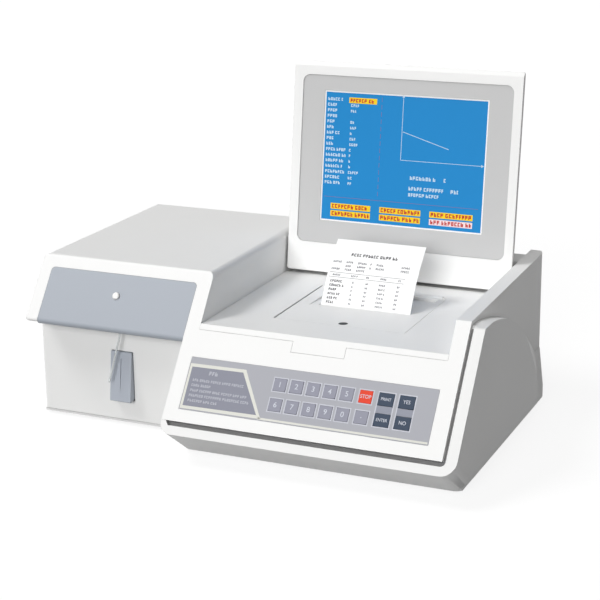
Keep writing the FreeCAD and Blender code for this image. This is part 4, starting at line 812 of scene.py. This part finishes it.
def picture_edge(bm, place):
    ring(bm, place, 0, screen_wide, 0, screen_tall, edge_width, 0, ink_thick)


dash_left, dash_right = 0.3545, 0.3575
dash_top, dash_low = 0.03, 0.8
dash_long, dash_step = 0.034, 0.055
rule_line = (0.02, 0.97, 0.811, 0.8145)


def red_lines(bm, place):
    """A dashed upright line and a level one."""
    t = dash_top
    while t < dash_low:
        on_screen(bm, place, dash_left, dash_right, t, t + dash_long)
        t += dash_step
    on_screen(bm, place, *rule_line)


bar_columns = [(0.065, 0.315), (0.372, 0.625), (0.68, 0.94)]
bar_rows = [(0.860, 0.905), (0.917, 0.962)]
pale_bar = (1, 2)
list_bar = (0.152, 0.325, 0.043, 0.086)
list_bar_words = (0.16, 0.318, 0.065)
list_bar_tall, bar_tall = 4.4, 4.8
bar_inset = 0.008
bar_seed = 12


def yellow_bars(bm, place):
    on_screen(bm, place, *list_bar)
    for row, (t0, t1) in enumerate(bar_rows):
        for column, (s0, s1) in enumerate(bar_columns):
            if (row, column) != pale_bar:
                on_screen(bm, place, s0, s1, t0, t1)


def pink_bar(bm, place):
    row, column = pale_bar
    on_screen(bm, place, *bar_columns[column], *bar_rows[row])


def red_print(bm, place):
    draw = random.Random(bar_seed)
    screen_words(bm, place, *list_bar_words, list_bar_tall, draw, level=2)
    for t0, t1 in bar_rows:
        for s0, s1 in bar_columns:
            screen_words(bm, place, s0 + bar_inset, s1 - bar_inset, (t0 + t1) / 2, bar_tall, draw, level=2)


plates("screen_text", screen_white, screen_at, "display", white_print)
plates("screen_chart", screen_white, screen_at, "display", chart_lines)
plates("screen_edge", screen_edge, screen_at, "display", picture_edge)
plates("screen_rules", screen_dim, screen_at, "display", red_lines)
plates("screen_bars", screen_yellow, screen_at, "display", yellow_bars)
plates("screen_pale_bar", screen_pink, screen_at, "display", pink_bar)
plates("screen_bar_text", screen_red, screen_at, "display", red_print)


# Printed slip: a thin sheet and its print, made flat and then bowed to the arc that its solid follows

slip_bow = 4.9
slip_thick = 0.16
slip_hidden = 7.0
slip_columns, slip_rows = 10, 40
slip_smooth_angle = 40
slip_low, slip_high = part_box("paper_slip")


def slip_arc():
    """The slip's foot and top, as the frame's y and z, with the radius and the turn of its arc."""
    foot, top = Vector((slip_low.y, slip_low.z)), Vector((slip_high.y, slip_high.z))
    half = (top - foot).length / 2
    bow = slip_bow * MM
    radius = (half * half + bow * bow) / (2 * bow)
    return foot, top, radius, 2 * math.asin(half / radius)


slip_foot, slip_top, slip_radius, slip_turn = slip_arc()
slip_wide = slip_high.x - slip_low.x
slip_tall = slip_radius * slip_turn


def bow_sheet(bm):
    """Bends a flat mesh, x across and y up from the foot in metres and z out, on to the slip's arc."""
    chord = (slip_top - slip_foot).normalized()
    ahead = Vector((-chord.y, chord.x))
    centre = (slip_foot + slip_top) / 2 - ahead * (slip_radius * math.cos(slip_turn / 2))
    for vert in bm.verts:
        angle = vert.co.y / slip_radius - slip_turn / 2
        out = ahead * math.cos(angle) + chord * math.sin(angle)
        place = centre + out * (slip_radius + vert.co.z)
        vert.co = (slip_low.x + vert.co.x, place.x, place.y)


def soft_piece(made):
    """Gives the piece a mesh of its own."""
    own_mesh(made)


def make_slip():
    bm = bmesh.new()
    half_wide, half_tall = slip_wide / 2, slip_tall / 2
    flat = Matrix.Translation((half_wide, half_tall, 0)) @ Matrix.Diagonal((half_wide, half_tall, 1, 1))
    bmesh.ops.create_grid(bm, x_segments=slip_columns, y_segments=slip_rows, size=1, matrix=flat)
    skin = bmesh.ops.extrude_face_region(bm, geom=bm.faces[:])["geom"]
    front = [item for item in skin if isinstance(item, bmesh.types.BMVert)]
    bmesh.ops.translate(bm, verts=front, vec=(0, 0, slip_thick * MM))
    bow_sheet(bm)
    slip = piece("printed_slip", bm, materials["paper_white"], "cover")
    slip.data.polygons.foreach_set("use_smooth", [True] * len(slip.data.polygons))
    slip.data.set_sharp_from_angle(angle=math.radians(slip_smooth_angle))
    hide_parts("paper_slip")
    soft_piece(slip)


# The slip's print: heights are shares down from its top edge, and spans are shares of its width
slip_print_top = slip_thick + 0.05
slip_title = (0.244, [(0.21, 0.73)])
slip_header = [(0.03, 0.13), (0.18, 0.25), (0.31, 0.41), (0.45, 0.47), (0.52, 0.615), (0.80, 0.89)]
slip_header_rows = [(0.37, slip_header), (0.43, slip_header[1:]), (0.486, slip_header[:3])]
slip_heads = (0.575, [(0.06, 0.15), (0.27, 0.35), (0.44, 0.48), (0.60, 0.67), (0.80, 0.83)])
slip_values = [(0.30, 0.325), (0.45, 0.478), (0.60, 0.68), (0.80, 0.83)]
slip_labels = [0.19, 0.21, 0.15, 0.20, 0.17, 0.13]
slip_label_left = 0.05
slip_title_tall, slip_header_tall, slip_label_tall, slip_value_tall = 3.9, 2.5, 2.9, 2.3
slip_table_top, slip_table_step = 0.67, 0.0625
slip_rules = (0.54, 0.61)
slip_rule_left, slip_rule_step, slip_rule_blocks = 0.02, 0.106, 8
slip_rule_half = 0.25
slip_seed = 21


def slip_height(share):
    """Millimetres up from the slip's foot, from a share down from its top edge."""
    return slip_hidden + (1 - share) * (slip_tall / MM - slip_hidden)


def slip_across(share):
    """Millimetres from the slip's left edge, from a share of its width."""
    return share * slip_wide / MM


def slip_print(bm, rows, height, draw):
    """Rows of print: each row is a share down from the top edge and its spans across."""
    for t, spans in rows:
        y = slip_height(t)
        for s0, s1 in spans:
            words(bm, frame_place, slip_across(s0), slip_across(s1), y, height, slip_print_top, draw)


def slip_rule(bm, t):
    """A line across the slip, in blocks that meet."""
    y = slip_height(t)
    ends = [slip_across(slip_rule_left + slip_rule_step * i) for i in range(slip_rule_blocks + 1)]
    for x0, x1 in zip(ends, ends[1:]):
        slab(bm, frame_place, x0, x1, y - slip_rule_half, y + slip_rule_half, 0, slip_print_top)


def make_slip_print():
    draw = random.Random(slip_seed)
    bm = bmesh.new()
    slip_print(bm, [slip_title], slip_title_tall, draw)
    table = [slip_table_top + slip_table_step * i for i in range(len(slip_labels))]
    labels = [(t, [(slip_label_left, label)]) for t, label in zip(table, slip_labels)]
    slip_print(bm, labels, slip_label_tall, draw)
    bow_sheet(bm)
    soft_piece(piece("slip_dark_print", bm, dark_print, "cover"))
    bm = bmesh.new()
    slip_print(bm, slip_header_rows, slip_header_tall, draw)
    slip_print(bm, [slip_heads], slip_value_tall, draw)
    slip_print(bm, [(t, slip_values) for t in table], slip_value_tall, draw)
    for t in slip_rules:
        slip_rule(bm, t)
    bow_sheet(bm)
    soft_piece(piece("slip_grey_print", bm, grey_print, "cover"))


dark_print = ink("dark_print", colour(52, 52, 58))
grey_print = ink("grey_print", colour(96, 96, 104))
make_slip()
make_slip_print()


# The lever's spring gets a mesh of its own


def squash_spring():
    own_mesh(nodes["lever_spring"])


squash_spring()


# Studio: a pale floor, a soft lamp from the front, a high key from the left, and the sky

floor_half_metres = 12.0
floor_white = 0.2
floor_seen = 0.86
sky_level = 0.17

# For each lamp, the way towards it, its level and how many degrees of sky it fills
lamps = {
    "front": ((0.02, -0.50, 0.17), 0.57, 30),
    "key": ((-0.62, -0.33, 1.0), 0.45, 22),
}


def seen_rays(tree):
    """1 for rays that show a surface, straight, mirrored or through clear plastic, and 0 for light."""
    path = tree.nodes.new("ShaderNodeLightPath").outputs
    seen = maths(tree, "MAXIMUM", path["Is Camera Ray"], path["Is Glossy Ray"])
    return maths(tree, "MAXIMUM", seen, path["Is Transmission Ray"])


def make_floor():
    bm = bmesh.new()
    bmesh.ops.create_grid(bm, x_segments=1, y_segments=1, size=floor_half_metres)
    mesh = bpy.data.meshes.new("floor")
    bm.to_mesh(mesh)
    bm.free()
    floor = bpy.data.objects.new("floor", mesh)
    bpy.context.scene.collection.objects.link(floor)
    material, tree, shader = new_material("floor_paint")
    shader.inputs["Base Color"].default_value = (floor_white, floor_white, floor_white, 1)
    shader.inputs["Roughness"].default_value = 0.9
    shader.inputs["Specular IOR Level"].default_value = 0.1
    shader.inputs["Emission Color"].default_value = (1, 1, 1, 1)
    glow = maths(tree, "MULTIPLY", seen_rays(tree), floor_seen)
    tree.links.new(glow, shader.inputs["Emission Strength"])
    floor.data.materials.append(material)


def make_sky():
    """A white sky that shines weakly but is seen as plain white."""
    world = bpy.data.worlds.new("studio")
    bpy.context.scene.world = world
    world.use_nodes = True
    tree = world.node_tree
    back = tree.nodes["Background"]
    back.inputs["Color"].default_value = (1, 1, 1, 1)
    tree.links.new(ranged(tree, seen_rays(tree), sky_level, 1.0), back.inputs["Strength"])


def make_lamp(name, towards, level, spread):
    """A soft distant lamp. A level of 1 renders a white surface that faces it as white."""
    light = bpy.data.lights.new(name, "SUN")
    light.energy = level * math.pi
    light.angle = math.radians(spread)
    lamp = bpy.data.objects.new(name, light)
    lamp.rotation_euler = Vector(towards).to_track_quat("Z", "Y").to_euler()
    bpy.context.scene.collection.objects.link(lamp)


def make_camera():
    data = bpy.data.cameras.new("camera")
    data.lens = camera_lens
    data.sensor_width = 36
    data.shift_x, data.shift_y = camera_shift
    data.clip_end = 50
    a, e, r = (math.radians(v) for v in (camera_azimuth, camera_elevation, camera_roll))
    back = Vector((math.sin(a) * math.cos(e), -math.cos(a) * math.cos(e), math.sin(e)))
    right = Vector((math.cos(a), math.sin(a), 0))
    up = back.cross(right)
    turned_right = right * math.cos(r) - up * math.sin(r)
    turned_up = up * math.cos(r) + right * math.sin(r)
    place = Matrix((turned_right, turned_up, back)).transposed().to_4x4()
    place.translation = (Vector(camera_aim) + back * camera_distance) * MM
    camera = bpy.data.objects.new("camera", data)
    camera.matrix_world = place
    bpy.context.scene.collection.objects.link(camera)
    bpy.context.scene.camera = camera


make_floor()
make_sky()
for name, lamp in lamps.items():
    make_lamp(name, *lamp)
make_camera()
bpy.context.scene.view_settings.view_transform = "Standard"
